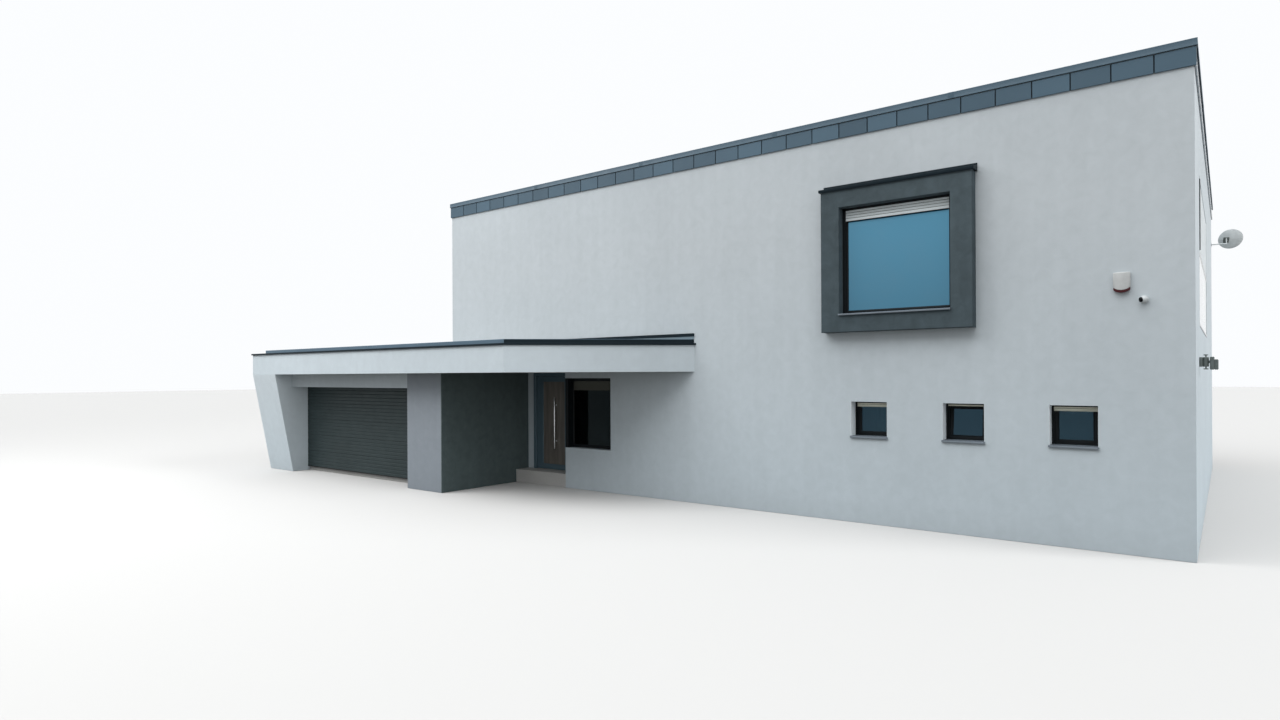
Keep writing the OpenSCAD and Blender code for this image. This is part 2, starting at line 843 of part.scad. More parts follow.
module side_window_frame() {
    color("#24282c") on_side_window() sashes_y([0, 0, 0], side_window_w, tall_h, frame_d, frame_w, 3);
}

module side_window_glass() {
    color("#41505c", 0.6) on_side_window()
        panes_y([0, 0, 0], side_window_w, tall_h, frame_d, frame_w, 3, glass_t);
}

module side_balustrade() {
    rail = 30;
    x1 = x_right - rail;
    color("#9fb4bb", 0.7) {
        block([x1 + (rail - balustrade_t) / 2, side_y0, upper_floor_z],
              [x1 + (rail + balustrade_t) / 2, side_y0 + side_window_w, upper_floor_z + balustrade_h - rail]);
        block([x1, side_y0, upper_floor_z + balustrade_h - rail],
              [x1 + rail, side_y0 + side_window_w, upper_floor_z + balustrade_h]);
    }
}

// Rear and left windows

module rear_window_frames() {
    y = y_back - recess - frame_d;
    color("#24282c") {
        for (i = [0 : rear_n - 1]) {
            sashes_y([rear_window_x(i), y, ground_floor_z], rear_w, garden_door_h, frame_d, frame_w, 2);
            sashes_y([rear_window_x(i), y, upper_floor_z + sill_up], rear_w, rear_h, frame_d, frame_w, 2);
        }
        for (i = [0 : left_n - 1]) translate([x_left + recess, left_window_y(i) + left_w, upper_floor_z + sill_up])
            rotate(-90) frame_y([0, 0, 0], left_w, rear_h, frame_d, frame_w);
    }
}

module rear_window_glass() {
    y = y_back - recess - frame_d;
    color("#41505c", 0.6) {
        for (i = [0 : rear_n - 1]) {
            panes_y([rear_window_x(i), y, ground_floor_z], rear_w, garden_door_h, frame_d, frame_w, 2, glass_t);
            panes_y([rear_window_x(i), y, upper_floor_z + sill_up], rear_w, rear_h, frame_d, frame_w, 2, glass_t);
        }
        for (i = [0 : left_n - 1]) translate([x_left + recess, left_window_y(i) + left_w, upper_floor_z + sill_up])
            rotate(-90) panes_y([0, 0, 0], left_w, rear_h, frame_d, frame_w, 1, glass_t);
    }
}

// Fittings on the walls

// Bowed front; the lens at its foot stands in by a few millimetres
module siren_plan(inset) {
    w = siren_w - 2 * inset;
    bow = siren_d - siren_side_d;
    r = (pow(w / 2, 2) + pow(bow, 2)) / (2 * bow);
    translate([-w / 2, -siren_side_d + inset]) square([w, siren_side_d - inset]);
    intersection() {
        translate([0, -siren_d + inset + r]) circle(r = r, $fn = 192);
        translate([-w / 2, -siren_d]) square([w, siren_d - siren_side_d + inset + 1]);
    }
}

// The housing's face, whose foot is round and starts at a height
module siren_face(start) {
    r = (pow(siren_w / 2, 2) + pow(siren_foot, 2)) / (2 * siren_foot);
    intersection() {
        translate([-siren_w / 2, start]) square([siren_w, siren_h - start]);
        union() {
            translate([0, start + r]) circle(r = r, $fn = 192);
            translate([-siren_w / 2, start + siren_foot]) square([siren_w, siren_h]);
        }
    }
}

module alarm_siren() {
    color("#e6e6e4") translate([x_right - siren_x, y_front, siren_z]) for (p = [[3, 0], [0, lens_h]])
        intersection() {
            linear_extrude(siren_h) siren_plan(p[0]);
            rotate([90, 0, 0]) linear_extrude(siren_d + over) siren_face(p[1]);
        }
}

// A ball in a round base; its lens looks down along the wall to the left
module wall_camera() {
    color("#e4e4e2") translate([x_right - camera_x, y_front, camera_z]) {
        rotate([90, 0, 0]) cylinder(r = camera_r + 4, h = 30);
        translate([0, -50, 0]) {
            sphere(r = camera_r);
            rotate([0, -105, 25]) cylinder(r = camera_r * 0.5, h = camera_r + 5);
        }
    }
}

// A wall box with an upright lamp between two rims, and on an arm a lamp head with its reflector
module floodlight() {
    color("#2c3136") translate([x_right, y_front + lamp_y, lamp_z]) {
        block([0, -55, -70], [40, 55, 70]);
        translate([75, 0, -70]) cylinder(r = 38, h = 140);
        translate([78, 0, -110]) cylinder(r = 9, h = 220);
        for (z = [-110, 95]) translate([78, 0, z]) cylinder(r = 30, h = 15);
        block([105, -12, -20], [130, 12, 20]);
        block([124, -70, -114], [178, 70, 74]);
        block([178, -60, -114], [226, 60, 36]);
    }
}

// Parabolic shell that faces away from the front, held off its middle by a clamp on a bent arm
function bowl(r) = dish_depth * pow(2 * r / dish_d, 2);
bowl_steps = 10;
module satellite_dish() {
    arm_r = 14;
    clamp_x = 105;
    z = band_z - dish_drop;
    color("#8d9296") translate([x_right, y_back - dish_in, z]) {
        rotate([0, 90, 0]) cylinder(r = 45, h = 12);
        rotate([0, 90, 0]) cylinder(r = arm_r, h = dish_off + arm_r);
        translate([dish_off, 0, -arm_r]) cylinder(r = arm_r, h = dish_rise + 70);
        translate([dish_off, 0, dish_rise]) rotate([0, 0, dish_turn]) rotate([-90 + dish_up, 0, 0]) {
            cylinder(r = 24, h = 49);
            translate([clamp_x, 0, 40]) rotate_extrude() polygon(concat(
                [for (i = [0 : bowl_steps]) let (r = dish_d / 2 * i / bowl_steps) [r, bowl(r)]],
                [for (i = [bowl_steps : -1 : 0]) let (r = dish_d / 2 * i / bowl_steps) [r, bowl(r) + dish_t]]
            ));
        }
    }
}

house_floor_slab();
garage_floor_slab();
front_wall();
front_wall_over_entrance();
entrance_wall();
entrance_lintel();
right_wall();
back_wall();
left_wall();
upper_floor_slab();
roof_slab();
parapet_panels();
parapet_cap();
garage_left_wall();
garage_lintel();
garage_pillar();
garage_side_wall();
garage_back_wall();
porch_wall_cladding();
garage_door();
canopy_roof();
canopy_fascia();
canopy_leg();
canopy_coping();
wall_flashing();
window_surround();
window_surround_cap();
main_window_frame();
main_window_glass();
main_window_shutter();
main_window_sill();
small_window_frames();
small_window_glass();
small_window_shutters();
small_window_sills();
entrance_window_frame();
entrance_window_glass();
entrance_door_frame();
entrance_door_leaf();
entrance_door_pull();
side_window_frame();
side_window_glass();
side_balustrade();
rear_window_frames();
rear_window_glass();
alarm_siren();
wall_camera();
floodlight();
satellite_dish();
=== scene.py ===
"""Detached house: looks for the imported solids. Metres, +Z up, the front faces -Y."""

import random
from math import atan2, ceil, cos, pi, radians, sin, sqrt, tan

import bmesh
import bpy
from mathutils import Matrix, Vector


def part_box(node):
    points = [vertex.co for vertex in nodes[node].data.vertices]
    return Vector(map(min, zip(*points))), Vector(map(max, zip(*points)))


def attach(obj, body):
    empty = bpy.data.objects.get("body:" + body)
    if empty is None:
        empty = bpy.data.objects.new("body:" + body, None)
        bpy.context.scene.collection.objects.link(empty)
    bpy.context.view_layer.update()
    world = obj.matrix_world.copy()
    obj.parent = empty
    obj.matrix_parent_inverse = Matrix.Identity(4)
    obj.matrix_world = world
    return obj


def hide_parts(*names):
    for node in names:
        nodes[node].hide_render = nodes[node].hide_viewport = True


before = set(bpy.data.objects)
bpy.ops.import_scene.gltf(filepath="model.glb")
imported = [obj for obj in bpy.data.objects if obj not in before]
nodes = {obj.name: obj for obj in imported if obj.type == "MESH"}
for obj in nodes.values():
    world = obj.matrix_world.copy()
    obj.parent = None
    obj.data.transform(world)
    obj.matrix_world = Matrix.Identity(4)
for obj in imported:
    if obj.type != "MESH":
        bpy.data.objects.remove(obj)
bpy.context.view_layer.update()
scene = bpy.context.scene
tones = random.Random(7)
UP = (0, 0, 1)


def add_object(name, data):
    """Makes an object and puts it in the scene."""
    obj = bpy.data.objects.new(name, data)
    scene.collection.objects.link(obj)
    return obj


# Camera at the photo's viewpoint: focal length and centre row in the photo's pixels

FRAME_W, FRAME_H = 1280, 720
FOCAL_PX = 756.763
CENTRE_ROW = 374.548
SENSOR = 36.0
EYE = (7.9896, -18.6975, 2.5006)
YAW, PITCH, ROLL = radians(37.836), radians(0.0656), radians(0.2672)

camera_data = bpy.data.cameras.new("camera")
camera = add_object("camera", camera_data)
scene.camera = camera
aim = Matrix.Rotation(YAW, 4, "Z") @ Matrix.Rotation(pi / 2 + PITCH, 4, "X")
camera.matrix_world = Matrix.Translation(EYE) @ aim @ Matrix.Rotation(-ROLL, 4, "Z")
camera_data.sensor_width = SENSOR
camera_data.lens = FOCAL_PX / FRAME_W * SENSOR
camera_data.shift_y = (CENTRE_ROW - FRAME_H / 2) / FRAME_W
camera_data.clip_end = 600


# Planes of the house, read from the solids

def corners_of(node):
    """A CAD node's lowest and highest corners, without the mesh's rounding."""
    return [[round(v, 4) for v in corner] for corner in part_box(node)]


(X_L, _, _), (X_R, Y_B, _) = corners_of("back_wall")
(_, Y_F, _), _ = corners_of("front_wall")
(_, _, BAND_Z), _ = corners_of("parapet_panels")
(_, _, CAP_Z), _ = corners_of("parapet_cap")
(LEG_X, CANOPY_Y, SOFFIT), (CANOPY_R, GARAGE_BACK, FASCIA_TOP) = corners_of("canopy_fascia")
CANOPY_BEND = CANOPY_R - (Y_F - CANOPY_Y)
(BOX_X0, BOX_FACE, BOX_Z0), (BOX_X1, _, BOX_Z1) = corners_of("window_surround")
(OPEN_X0, _, OPEN_Z0), (OPEN_X1, _, OPEN_Z1) = corners_of("main_window_frame")
OPENING = (OPEN_X0, OPEN_Z0, OPEN_X1, OPEN_Z1)
(SMALL_X0, _, SMALL_Z0), (SMALL_X1, _, SMALL_Z1) = corners_of("small_window_frames")
(_, SIDE_Y0, UPPER), (_, SIDE_Y1, SIDE_Z1) = corners_of("side_window_frame")
(DOOR_X0, ENTRANCE_Y, GROUND), (DOOR_X1, _, _) = corners_of("entrance_door_frame")
RECESS = 0.18


def feed(value, socket):
    """Links a socket to another one, or sets its own value."""
    if isinstance(value, bpy.types.NodeSocket):
        socket.id_data.links.new(value, socket)
    else:
        socket.default_value = value


def add_node(tree, kind, inputs, **settings):
    """Adds a shader node with its settings, and feeds its inputs."""
    node = tree.nodes.new(kind)
    for key, value in settings.items():
        setattr(node, key, value)
    for key, value in inputs.items():
        feed(value, node.inputs[key])
    return node


def add_mix(tree, fac, first, second, blend="MIX"):
    """Mixes two colours, each a value or a socket, and gives the result's socket."""
    node = add_node(tree, "ShaderNodeMix", {0: fac}, data_type="RGBA", blend_type=blend)
    for value, socket in zip((first, second), [s for s in node.inputs if s.type == "RGBA"]):
        feed(value, socket)
    return [s for s in node.outputs if s.type == "RGBA"][0]


class Look:
    """A material on one Principled shader whose colour, roughness and relief are built up step by step."""

    def __init__(self, name, color, rough, metallic=0.0, specular=0.5, **sockets):
        self.material = bpy.data.materials.new(name)
        self.material.use_nodes = True
        self.tree = self.material.node_tree
        self.shader = self.tree.nodes["Principled BSDF"].inputs
        self.color = (*color, 1)
        self.normal = None
        inputs = {"Base_Color": self.color, "Roughness": rough, "Metallic": metallic,
                  "Specular_IOR_Level": specular, **sockets}
        for key, value in inputs.items():
            feed(value, self.shader[key.replace("_", " ")])
        self.place = add_node(self.tree, "ShaderNodeTexCoord", {}).outputs["Object"]

    def noise(self, scale, detail=2.0, stretch=None, distort=0.0):
        """Grey noise; the scale is in features per metre."""
        place = self.place
        if stretch:
            mapping = add_node(self.tree, "ShaderNodeMapping", {"Scale": stretch, "Vector": place})
            place = mapping.outputs["Vector"]
        inputs = {"Scale": scale, "Detail": detail, "Distortion": distort, "Vector": place}
        return add_node(self.tree, "ShaderNodeTexNoise", inputs).outputs["Fac"]

    def cells(self, scale, output="Distance"):
        inputs = {"Scale": scale, "Vector": self.place}
        return add_node(self.tree, "ShaderNodeTexVoronoi", inputs).outputs[output]

    def height(self):
        return add_node(self.tree, "ShaderNodeSeparateXYZ", {"Vector": self.place}).outputs["Z"]

    def tone(self):
        """The tone painted on each panel's own mesh; the band cassettes' ends get a low one, as painted
        shade.
        """
        return add_node(self.tree, "ShaderNodeAttribute", {}, attribute_name="tone").outputs["Fac"]

    def remap(self, fac, low, high, start=0.3, end=0.7):
        inputs = {"From Min": start, "From Max": end, "To Min": low, "To Max": high, "Value": fac}
        return add_node(self.tree, "ShaderNodeMapRange", inputs).outputs["Result"]

    def multiply(self, fac, other):
        """Multiplies the colour so far by another colour or by a socket."""
        self.color = add_mix(self.tree, fac, self.color, other, "MULTIPLY")
        feed(self.color, self.shader["Base Color"])

    def vary(self, fac, low, high, start=0.3, end=0.7):
        self.multiply(1.0, self.remap(fac, low, high, start, end))

    def gloss(self, fac, low, high):
        feed(self.remap(fac, low, high), self.shader["Roughness"])

    def bump(self, fac, distance, strength):
        inputs = {"Distance": distance, "Strength": strength, "Height": fac}
        if self.normal:
            inputs["Normal"] = self.normal
        self.normal = add_node(self.tree, "ShaderNodeBump", inputs).outputs["Normal"]
        feed(self.normal, self.shader["Normal"])


def render_look(name, color, contrast):
    """Trowelled render: broad clouds, hand-sized patches, fine grain and faint rain streaks."""
    grain = 240.0
    look = Look(name, color, 0.92, specular=0.15)
    for down, up, *noise in ((0.5, 0.4, 0.45, 3.0), (0.5, 0.5, 6.0, 4.0, None, 0.6),
                             (0.35, 0.25, 1.0, 3.0, (5.0, 5.0, 0.35)), (0.8, 0.5, grain, 2.0)):
        look.vary(look.noise(*noise), 1 - down * contrast, 1 + up * contrast)
    look.vary(look.height(), 0.93, 1.0, 0.0, 0.45)
    # Cooler and a little darker from the foot up to 5 m, fading out: painted shade.
    look.multiply(look.remap(look.height(), 1.0, 0.0, 0.6, 5.0), (0.92, 0.965, 0.99, 1))
    look.bump(look.noise(14.0, 3.0, distort=0.8), 0.0025, 0.5)
    look.bump(look.noise(grain, 2.0), 0.0016, 0.8)
    return look


white_render = render_look("white_render", (0.46, 0.5, 0.525), 0.06)
# A darker copy of the white render for the garage pillar: painted shade under the canopy.
pillar_render_painted_shade = render_look("pillar_render_painted_shade", (0.255, 0.275, 0.3), 0.06)
# A lighter copy of the white render for the small windows' reveals: painted light.
reveal_render_painted_light = render_look("reveal_render_painted_light", (0.8, 0.83, 0.85), 0.05)
# A lighter copy of the white render for the canopy's fascia: painted light.
fascia_render_painted_light = render_look("canopy_render_painted_light", (0.53, 0.58, 0.61), 0.05)
# A still lighter copy of the white render for the canopy's leg: painted light.
leg_render_painted_light = render_look("leg_render_painted_light", (0.62, 0.67, 0.7), 0.05)
dark_render = render_look("dark_render", (0.062, 0.083, 0.094), 0.22)
porch_render = render_look("porch_render", (0.085, 0.108, 0.108), 0.18)

concrete = Look("concrete", (0.36, 0.36, 0.35), 0.85)
concrete.vary(concrete.noise(0.8, 4.0), 0.88, 1.1)
concrete.vary(concrete.noise(90.0, 3.0), 0.9, 1.06)
concrete.bump(concrete.noise(60.0, 4.0), 0.0015, 0.7)

gravel = Look("gravel", (0.36, 0.355, 0.34), 0.9)
gravel.vary(gravel.cells(38.0, "Color"), 0.62, 1.25, 0.0, 1.0)
gravel.vary(gravel.noise(0.5, 3.0), 0.85, 1.1)
gravel.bump(gravel.cells(38.0), 0.016, 0.9)


def coat_look(name, color, rough, clouds, gloss=None, relief=None, toned=False, **sockets):
    """One colour with clouds of tone, of gloss and of relief, each as two amounts and its noise."""
    look = Look(name, color, rough, **sockets)
    if toned:
        look.vary(look.tone(), 0.0, 2.0, 0.0, 2.0)
    low, high, *noise = clouds
    look.vary(look.noise(*noise), low, high)
    if gloss:
        low, high, *noise = gloss
        look.gloss(look.noise(*noise), low, high)
    if relief:
        distance, strength, *noise = relief
        look.bump(look.noise(*noise), distance, strength)
    return look


# Sheet metal; the right side's panels have a clear coat that mirrors the sky at a low angle

BAND_COLOR = (0.057, 0.101, 0.138)
sheet = coat_look(
    "sheet_metal", BAND_COLOR, 0.5, (0.93, 1.07, 0.7, 3.0), (0.44, 0.56, 5.0, 3.0), (0.004, 0.35, 1.6, 1.0),
    toned=True, specular=0.25)
side_sheet = coat_look(
    "side_sheet_metal", BAND_COLOR, 0.5, (0.93, 1.07, 0.7, 3.0), toned=True, specular=0.25,
    Coat_Weight=1.0, Coat_Roughness=0.05)
dark_sheet = coat_look(
    "dark_sheet_metal", (0.006, 0.0135, 0.019), 0.5, (0.88, 1.12, 0.8, 3.0), (0.44, 0.56, 5.0, 3.0),
    (0.003, 0.3, 1.8, 1.0), specular=0.1)
coping_sheet = coat_look(
    "coping_sheet_metal", (0.075, 0.125, 0.17), 0.48, (0.9, 1.1, 0.8, 3.0), (0.4, 0.5, 5.0, 3.0),
    (0.003, 0.3, 1.8, 1.0), toned=True, specular=0.25)
light_sheet = coat_look(
    "flashing_sheet", (0.17, 0.23, 0.27), 0.5, (0.9, 1.08, 0.8, 3.0), (0.36, 0.48, 5.0, 3.0),
    (0.003, 0.3, 1.8, 1.0), specular=0.25)
garage_metal = coat_look(
    "garage_door_metal", (0.022, 0.034, 0.036), 0.55, (0.9, 1.1, 0.6, 3.0), (0.5, 0.6, 4.0, 3.0),
    (0.0004, 0.6, 420.0, 2.0, (0.25, 1.0, 1.0)), specular=0.2)
sill_metal = coat_look(
    "sill_metal", (0.13, 0.155, 0.18), 0.45, (0.92, 1.06, 3.0, 3.0), (0.34, 0.48, 40.0, 2.0), specular=0.3)

# Frames, seals and glass

frame_paint = coat_look(
    "window_frames", (0.0045, 0.0065, 0.008), 0.5, (0.9, 1.15, 3.0, 3.0), (0.46, 0.56, 30.0, 2.0),
    (0.0002, 0.5, 700.0, 1.0), specular=0.12)
rubber = coat_look(
    "rubber", (0.006, 0.006, 0.007), 0.8, (0.85, 1.15, 12.0, 2.0), None, (0.0002, 0.4, 500.0, 1.0),
    specular=0.2)


def glass_look(name, color, transmission, wave, ior=1.5, glint=(1, 1, 1), metallic=0.0):
    """Slightly wavy glass; the glint tints what it mirrors."""
    tint = (*glint, 1)
    look = Look(name, color, 0.02, metallic, Transmission_Weight=transmission, IOR=ior, Specular_Tint=tint)
    look.gloss(look.noise(2.0, 2.0), 0.01, 0.035)
    look.bump(look.noise(1.3, 1.0), wave, 0.5)
    return look


main_glass = glass_look("main_window_glass", (0.078, 0.245, 0.365), 0.0, 0.004, metallic=0.6)
# Darker towards the bottom of the pane: painted reflection of the ground.
main_glass.vary(main_glass.height(), 0.74, 1.05, 3.5, 5.1)
dark_glass = glass_look("window_glass", (0.05, 0.065, 0.07), 0.9, 0.002, 1.3, (0.4, 0.7, 0.9))
small_glass = glass_look("small_window_glass", (0.04, 0.06, 0.07), 0.9, 0.003, 1.6, (0.36, 0.72, 1.0))
entrance_glass = glass_look("entrance_glass", (0.012, 0.013, 0.013), 0.9, 0.002, 1.18, (0.5, 0.8, 0.9))
rail_glass = glass_look("balustrade_glass", (0.72, 0.8, 0.8), 0.9, 0.001)


# Shutters, door and fittings

def slat_look(name, color):
    return coat_look(name, color, 0.45, (0.92, 1.06, 2.0, 3.0, (1.0, 1.0, 6.0)), (0.4, 0.52, 20.0, 2.0),
                     (0.0003, 0.4, 300.0, 1.0))


def plastic_look(name, color):
    return coat_look(name, color, 0.5, (0.96, 1.03, 25.0, 3.0), None, (0.0002, 0.5, 900.0, 1.0))


grey_slats = slat_look("grey_slats", (0.64, 0.7, 0.72))
beige_slats = slat_look("beige_slats", (0.8, 0.8, 0.67))
white_slats = slat_look("pale_slats", (0.52, 0.56, 0.58))
blind_cloth = coat_look("blind_cloth", (0.045, 0.047, 0.037), 0.85, (0.85, 1.12, 300.0, 1.0, (1.0, 1.0, 0.2)))
door_paint = coat_look(
    "door_paint", (0.068, 0.112, 0.14), 0.4, (0.93, 1.08, 1.5, 3.0), (0.34, 0.44, 25.0, 2.0),
    (0.0002, 0.4, 600.0, 1.0))
door_panel_paint = coat_look(
    "door_panel", (0.12, 0.11, 0.098), 0.42, (0.75, 1.3, 2.0, 4.0, (9.0, 9.0, 0.6)), (0.34, 0.46, 25.0, 2.0))
BRUSHED = (1.0, 1.0, 0.06)
steel = coat_look(
    "steel", (0.58, 0.59, 0.6), 0.28, (0.9, 1.06, 180.0, 2.0, BRUSHED), (0.22, 0.36, 220.0, 2.0, BRUSHED),
    metallic=1.0)
plastic = plastic_look("white_plastic", (0.47, 0.5, 0.51))
siren_plastic = plastic_look("siren_plastic", (0.41, 0.425, 0.425))
red_lens = coat_look("red_lens", (0.045, 0.0025, 0.006), 0.3, (0.85, 1.15, 60.0, 2.0), specular=0.25)
lens_glass = coat_look("camera_lens", (0.002, 0.0025, 0.0035), 0.35, (0.8, 1.2, 80.0, 1.0), specular=0.03)
lamp_metal = coat_look(
    "lamp_metal", (0.115, 0.135, 0.13), 0.5, (0.88, 1.14, 14.0, 3.0), None, (0.0002, 0.6, 800.0, 1.0),
    specular=0.3)
lamp_glass = Look("lamp_glass", (0.42, 0.44, 0.45), 0.15)
lamp_glass.vary(lamp_glass.cells(160.0), 0.85, 1.1, 0.0, 1.0)
dish_metal = coat_look(
    "dish_metal", (0.62, 0.66, 0.67), 0.5, (0.92, 1.06, 7.0, 3.0), (0.4, 0.52, 30.0, 2.0))


class Shape:
    """Solids that are collected in one mesh."""

    # Tone of the cassettes' ends in the joints: painted shade.
    SHADED_END_TONE = 0.12

    def __init__(self):
        self.bm = bmesh.new()
        self.tone = self.bm.loops.layers.float_color.new("tone")
        self.tone_value = 0.5

    def face(self, verts):
        f = self.bm.faces.new(verts)
        for loop in f.loops:
            loop[self.tone] = (self.tone_value, self.tone_value, self.tone_value, 1)

    def box(self, a, b, c=0.002, dark=None):
        """A box between two corners, with chamfers of c; its ends along a dark axis get a low tone, as
        painted shade.
        """
        lo, hi = zip(*[sorted(pair) for pair in zip(a, b)])
        if not c:
            plan = [(lo[0], lo[1]), (hi[0], lo[1]), (hi[0], hi[1]), (lo[0], hi[1])]
            self.loft([[(*p, z) for p in plan] for z in (lo[2], hi[2])])
            return
        c = min([c] + [(hi[i] - lo[i]) / 3 for i in range(3)])
        corner = {}
        signs = [(i, j, k) for i in (0, 1) for j in (0, 1) for k in (0, 1)]
        for s in signs:
            edge = [hi[i] if s[i] else lo[i] for i in range(3)]
            inset = [edge[i] + (-c if s[i] else c) for i in range(3)]
            for axis in range(3):
                corner[s, axis] = self.bm.verts.new([(edge if i == axis else inset)[i] for i in range(3)])

        def sign(axis, side, u, su, v, sv):
            s = [0, 0, 0]
            s[axis], s[u], s[v] = side, su, sv
            return tuple(s)

        tone = self.tone_value
        for axis in range(3):
            u, v = [i for i in range(3) if i != axis]
            self.tone_value = self.SHADED_END_TONE if axis == dark else tone
            for side in (0, 1):
                turns = ((0, 0), (1, 0), (1, 1), (0, 1))
                self.face([corner[sign(axis, side, u, su, v, sv), axis] for su, sv in turns])
            self.tone_value = tone
            for su in (0, 1):
                for sv in (0, 1):
                    one, two = [sign(axis, side, u, su, v, sv) for side in (0, 1)]
                    self.face([corner[one, u], corner[one, v], corner[two, v], corner[two, u]])
        for s in signs:
            self.face([corner[s, 0], corner[s, 1], corner[s, 2]])

    def loft(self, rings, closed=False):
        """Joins rings of points; caps the ends unless the rings close on themselves."""
        made = [[self.bm.verts.new(p) for p in ring] for ring in rings]
        count = len(made[0])
        pairs = list(zip(made, made[1:]))
        if closed:
            pairs.append((made[-1], made[0]))
        for a, b in pairs:
            for i in range(count):
                j = (i + 1) % count
                self.face([a[i], a[j], b[j], b[i]])
        if not closed:
            self.face(made[0][::-1])
            self.face(made[-1])

    def sweep(self, profile, stations, closed=False):
        """Carries a profile of (a, b) points along stations of (origin, vector a, vector b)."""
        rings = [[Vector(o) + Vector(u) * a + Vector(v) * b for a, b in profile] for o, u, v in stations]
        self.loft(rings, closed)

    def follow(self, profile, places, z, closed=False):
        """Carries a profile of (out, up) points over places on the plan, each (point, vector out)."""
        self.sweep(profile, [((*p, z), (*out, 0), UP) for p, out in places], closed)

    def along_x(self, profile, x0, x1, y, z):
        """Carries a profile of (y, z) points along X, from a starting y and z."""
        self.follow(profile, [((x, y), (0, 1)) for x in (x0, x1)], z)

    def lathe(self, origin, axis, profile, steps=24):
        """Turns (distance, radius) points round an axis; the first and last radius may be 0."""
        origin = Vector(origin)
        axis = Vector(axis).normalized()
        side = axis.orthogonal().normalized()
        other = axis.cross(side)
        rings = []
        for d, r in profile:
            centre = origin + axis * d
            if r < 1e-6:
                rings.append([self.bm.verts.new(centre)])
                continue
            ring = []
            for i in range(steps):
                t = 2 * pi * i / steps
                ring.append(self.bm.verts.new(centre + (side * cos(t) + other * sin(t)) * r))
            rings.append(ring)
        for a, b in zip(rings, rings[1:]):
            for i in range(steps):
                j = (i + 1) % steps
                self.face(list(dict.fromkeys([a[i % len(a)], a[j % len(a)], b[j % len(b)], b[i % len(b)]])))
        for end in (rings[0][::-1], rings[-1]):
            if len(end) > 1:
                self.face(end)

    def rod(self, a, b, r, steps=20):
        """A straight round bar between two points."""
        a, b = Vector(a), Vector(b)
        n = (b - a).length
        c = min(r * 0.25, n * 0.25)
        self.lathe(a, b - a, [(0, r - c), (c, r), (n - c, r), (n, r - c)], steps)

    def moved(self, matrix):
        bmesh.ops.transform(self.bm, matrix=matrix, verts=self.bm.verts)
        return self

    def join(self, other):
        """Takes in another shape's solids."""
        mesh = bpy.data.meshes.new("part")
        other.bm.to_mesh(mesh)
        self.bm.from_mesh(mesh)
        bpy.data.meshes.remove(mesh)

    def finish(self, name, look, slot, *stands_for, body="root", smooth=32):
        """Makes the piece, which may stand for CAD nodes; faces up to the smooth angle shade as one."""
        bmesh.ops.recalc_face_normals(self.bm, faces=self.bm.faces)
        limit = radians(smooth)
        for f in self.bm.faces:
            f.smooth = True
        for e in self.bm.edges:
            e.smooth = len(e.link_faces) == 2 and e.calc_face_angle(pi) < limit
        mesh = bpy.data.meshes.new(name)
        self.bm.to_mesh(mesh)
        self.bm.free()
        mesh.materials.append(look.material)
        obj = add_object(name, mesh)
        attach(obj, body)
        if stands_for:
            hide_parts(*stands_for)


def dress(look, *names):
    """Gives CAD nodes of the right shape a finished material."""
    for n in names:
        mesh = nodes[n].data
        mesh.materials.clear()
        mesh.materials.append(look.material)


dress(white_render, "front_wall", "front_wall_over_entrance", "entrance_wall", "entrance_lintel",
      "right_wall", "back_wall", "left_wall", "garage_left_wall", "garage_lintel", "garage_side_wall",
      "garage_back_wall")
# The pillar takes the darker copy of the render: painted shade.
dress(pillar_render_painted_shade, "garage_pillar")
# The fascia takes the lighter copy of the render: painted light.
dress(fascia_render_painted_light, "canopy_fascia")
# The leg takes the lightest copy of the render: painted light.
dress(leg_render_painted_light, "canopy_leg")
dress(porch_render, "porch_wall_cladding")
dress(concrete, "house_floor_slab", "garage_floor_slab", "upper_floor_slab")
dress(gravel, "roof_slab", "canopy_roof")
dress(small_glass, "small_window_glass")
dress(entrance_glass, "entrance_window_glass")
dress(dark_glass, "side_window_glass", "rear_window_glass")


# Sides of the block: the middle of each on the plan, the way along it and half its length

SIDES = {"front": ((0, Y_F), (1, 0), X_R), "right": ((X_R, 0), (0, 1), Y_B),
         "back": ((0, Y_B), (-1, 0), X_R), "left": ((X_L, 0), (0, -1), Y_B)}


def wall_place(side, u, out, z):
    """A point on one of the block's sides: along the wall from its middle, out of it, and up."""
    (x, y), (ax, ay), _ = SIDES[side]
    return (x + ax * u + ay * out, y + ay * u - ax * out, z)


# Metal band: cassettes over a dark backing that shows in their joints, with painted shade on their ends, and
# the folded cap

PANEL_PITCH = 0.4966
FIRST_PANEL = 0.48
PANEL_JOINT = 0.015
PANEL_OUT = 0.025
CAP_GAP = 0.008
CAP_LENGTH = 3.0
COVER_HALF = 0.045


def make_band():
    panels, side_panels, backing = Shape(), Shape(), Shape()
    for side, (_, _, half) in SIDES.items():
        along, past = (0, PANEL_OUT) if side in ("front", "back") else (1, 0.0)
        count = 1 + ceil((2 * half - FIRST_PANEL - PANEL_JOINT) / PANEL_PITCH)
        run = side_panels if side == "right" else panels
        for i in range(count):
            joint = -half + FIRST_PANEL + i * PANEL_PITCH
            a = joint - PANEL_PITCH + PANEL_JOINT / 2 if i else -half - past
            b = joint - PANEL_JOINT / 2 if i < count - 1 else half + past
            run.tone_value = tones.uniform(0.86, 1.14)
            top = wall_place(side, b, PANEL_OUT, CAP_Z - CAP_GAP)
            # The cassette's ends along the band get the low tone: painted shade in the joints.
            run.box(wall_place(side, a, 0.004, BAND_Z), top, dark=along)
        backing.box(wall_place(side, -half, 0.0, BAND_Z + 0.004), wall_place(side, half, 0.006, CAP_Z), 0.001)
    panels.finish("band_panels", sheet, "sheet_metal", "parapet_panels")
    side_panels.finish("band_side_panels", side_sheet, "sheet_metal")
    backing.finish("band_backing", rubber, "sheet_metal")


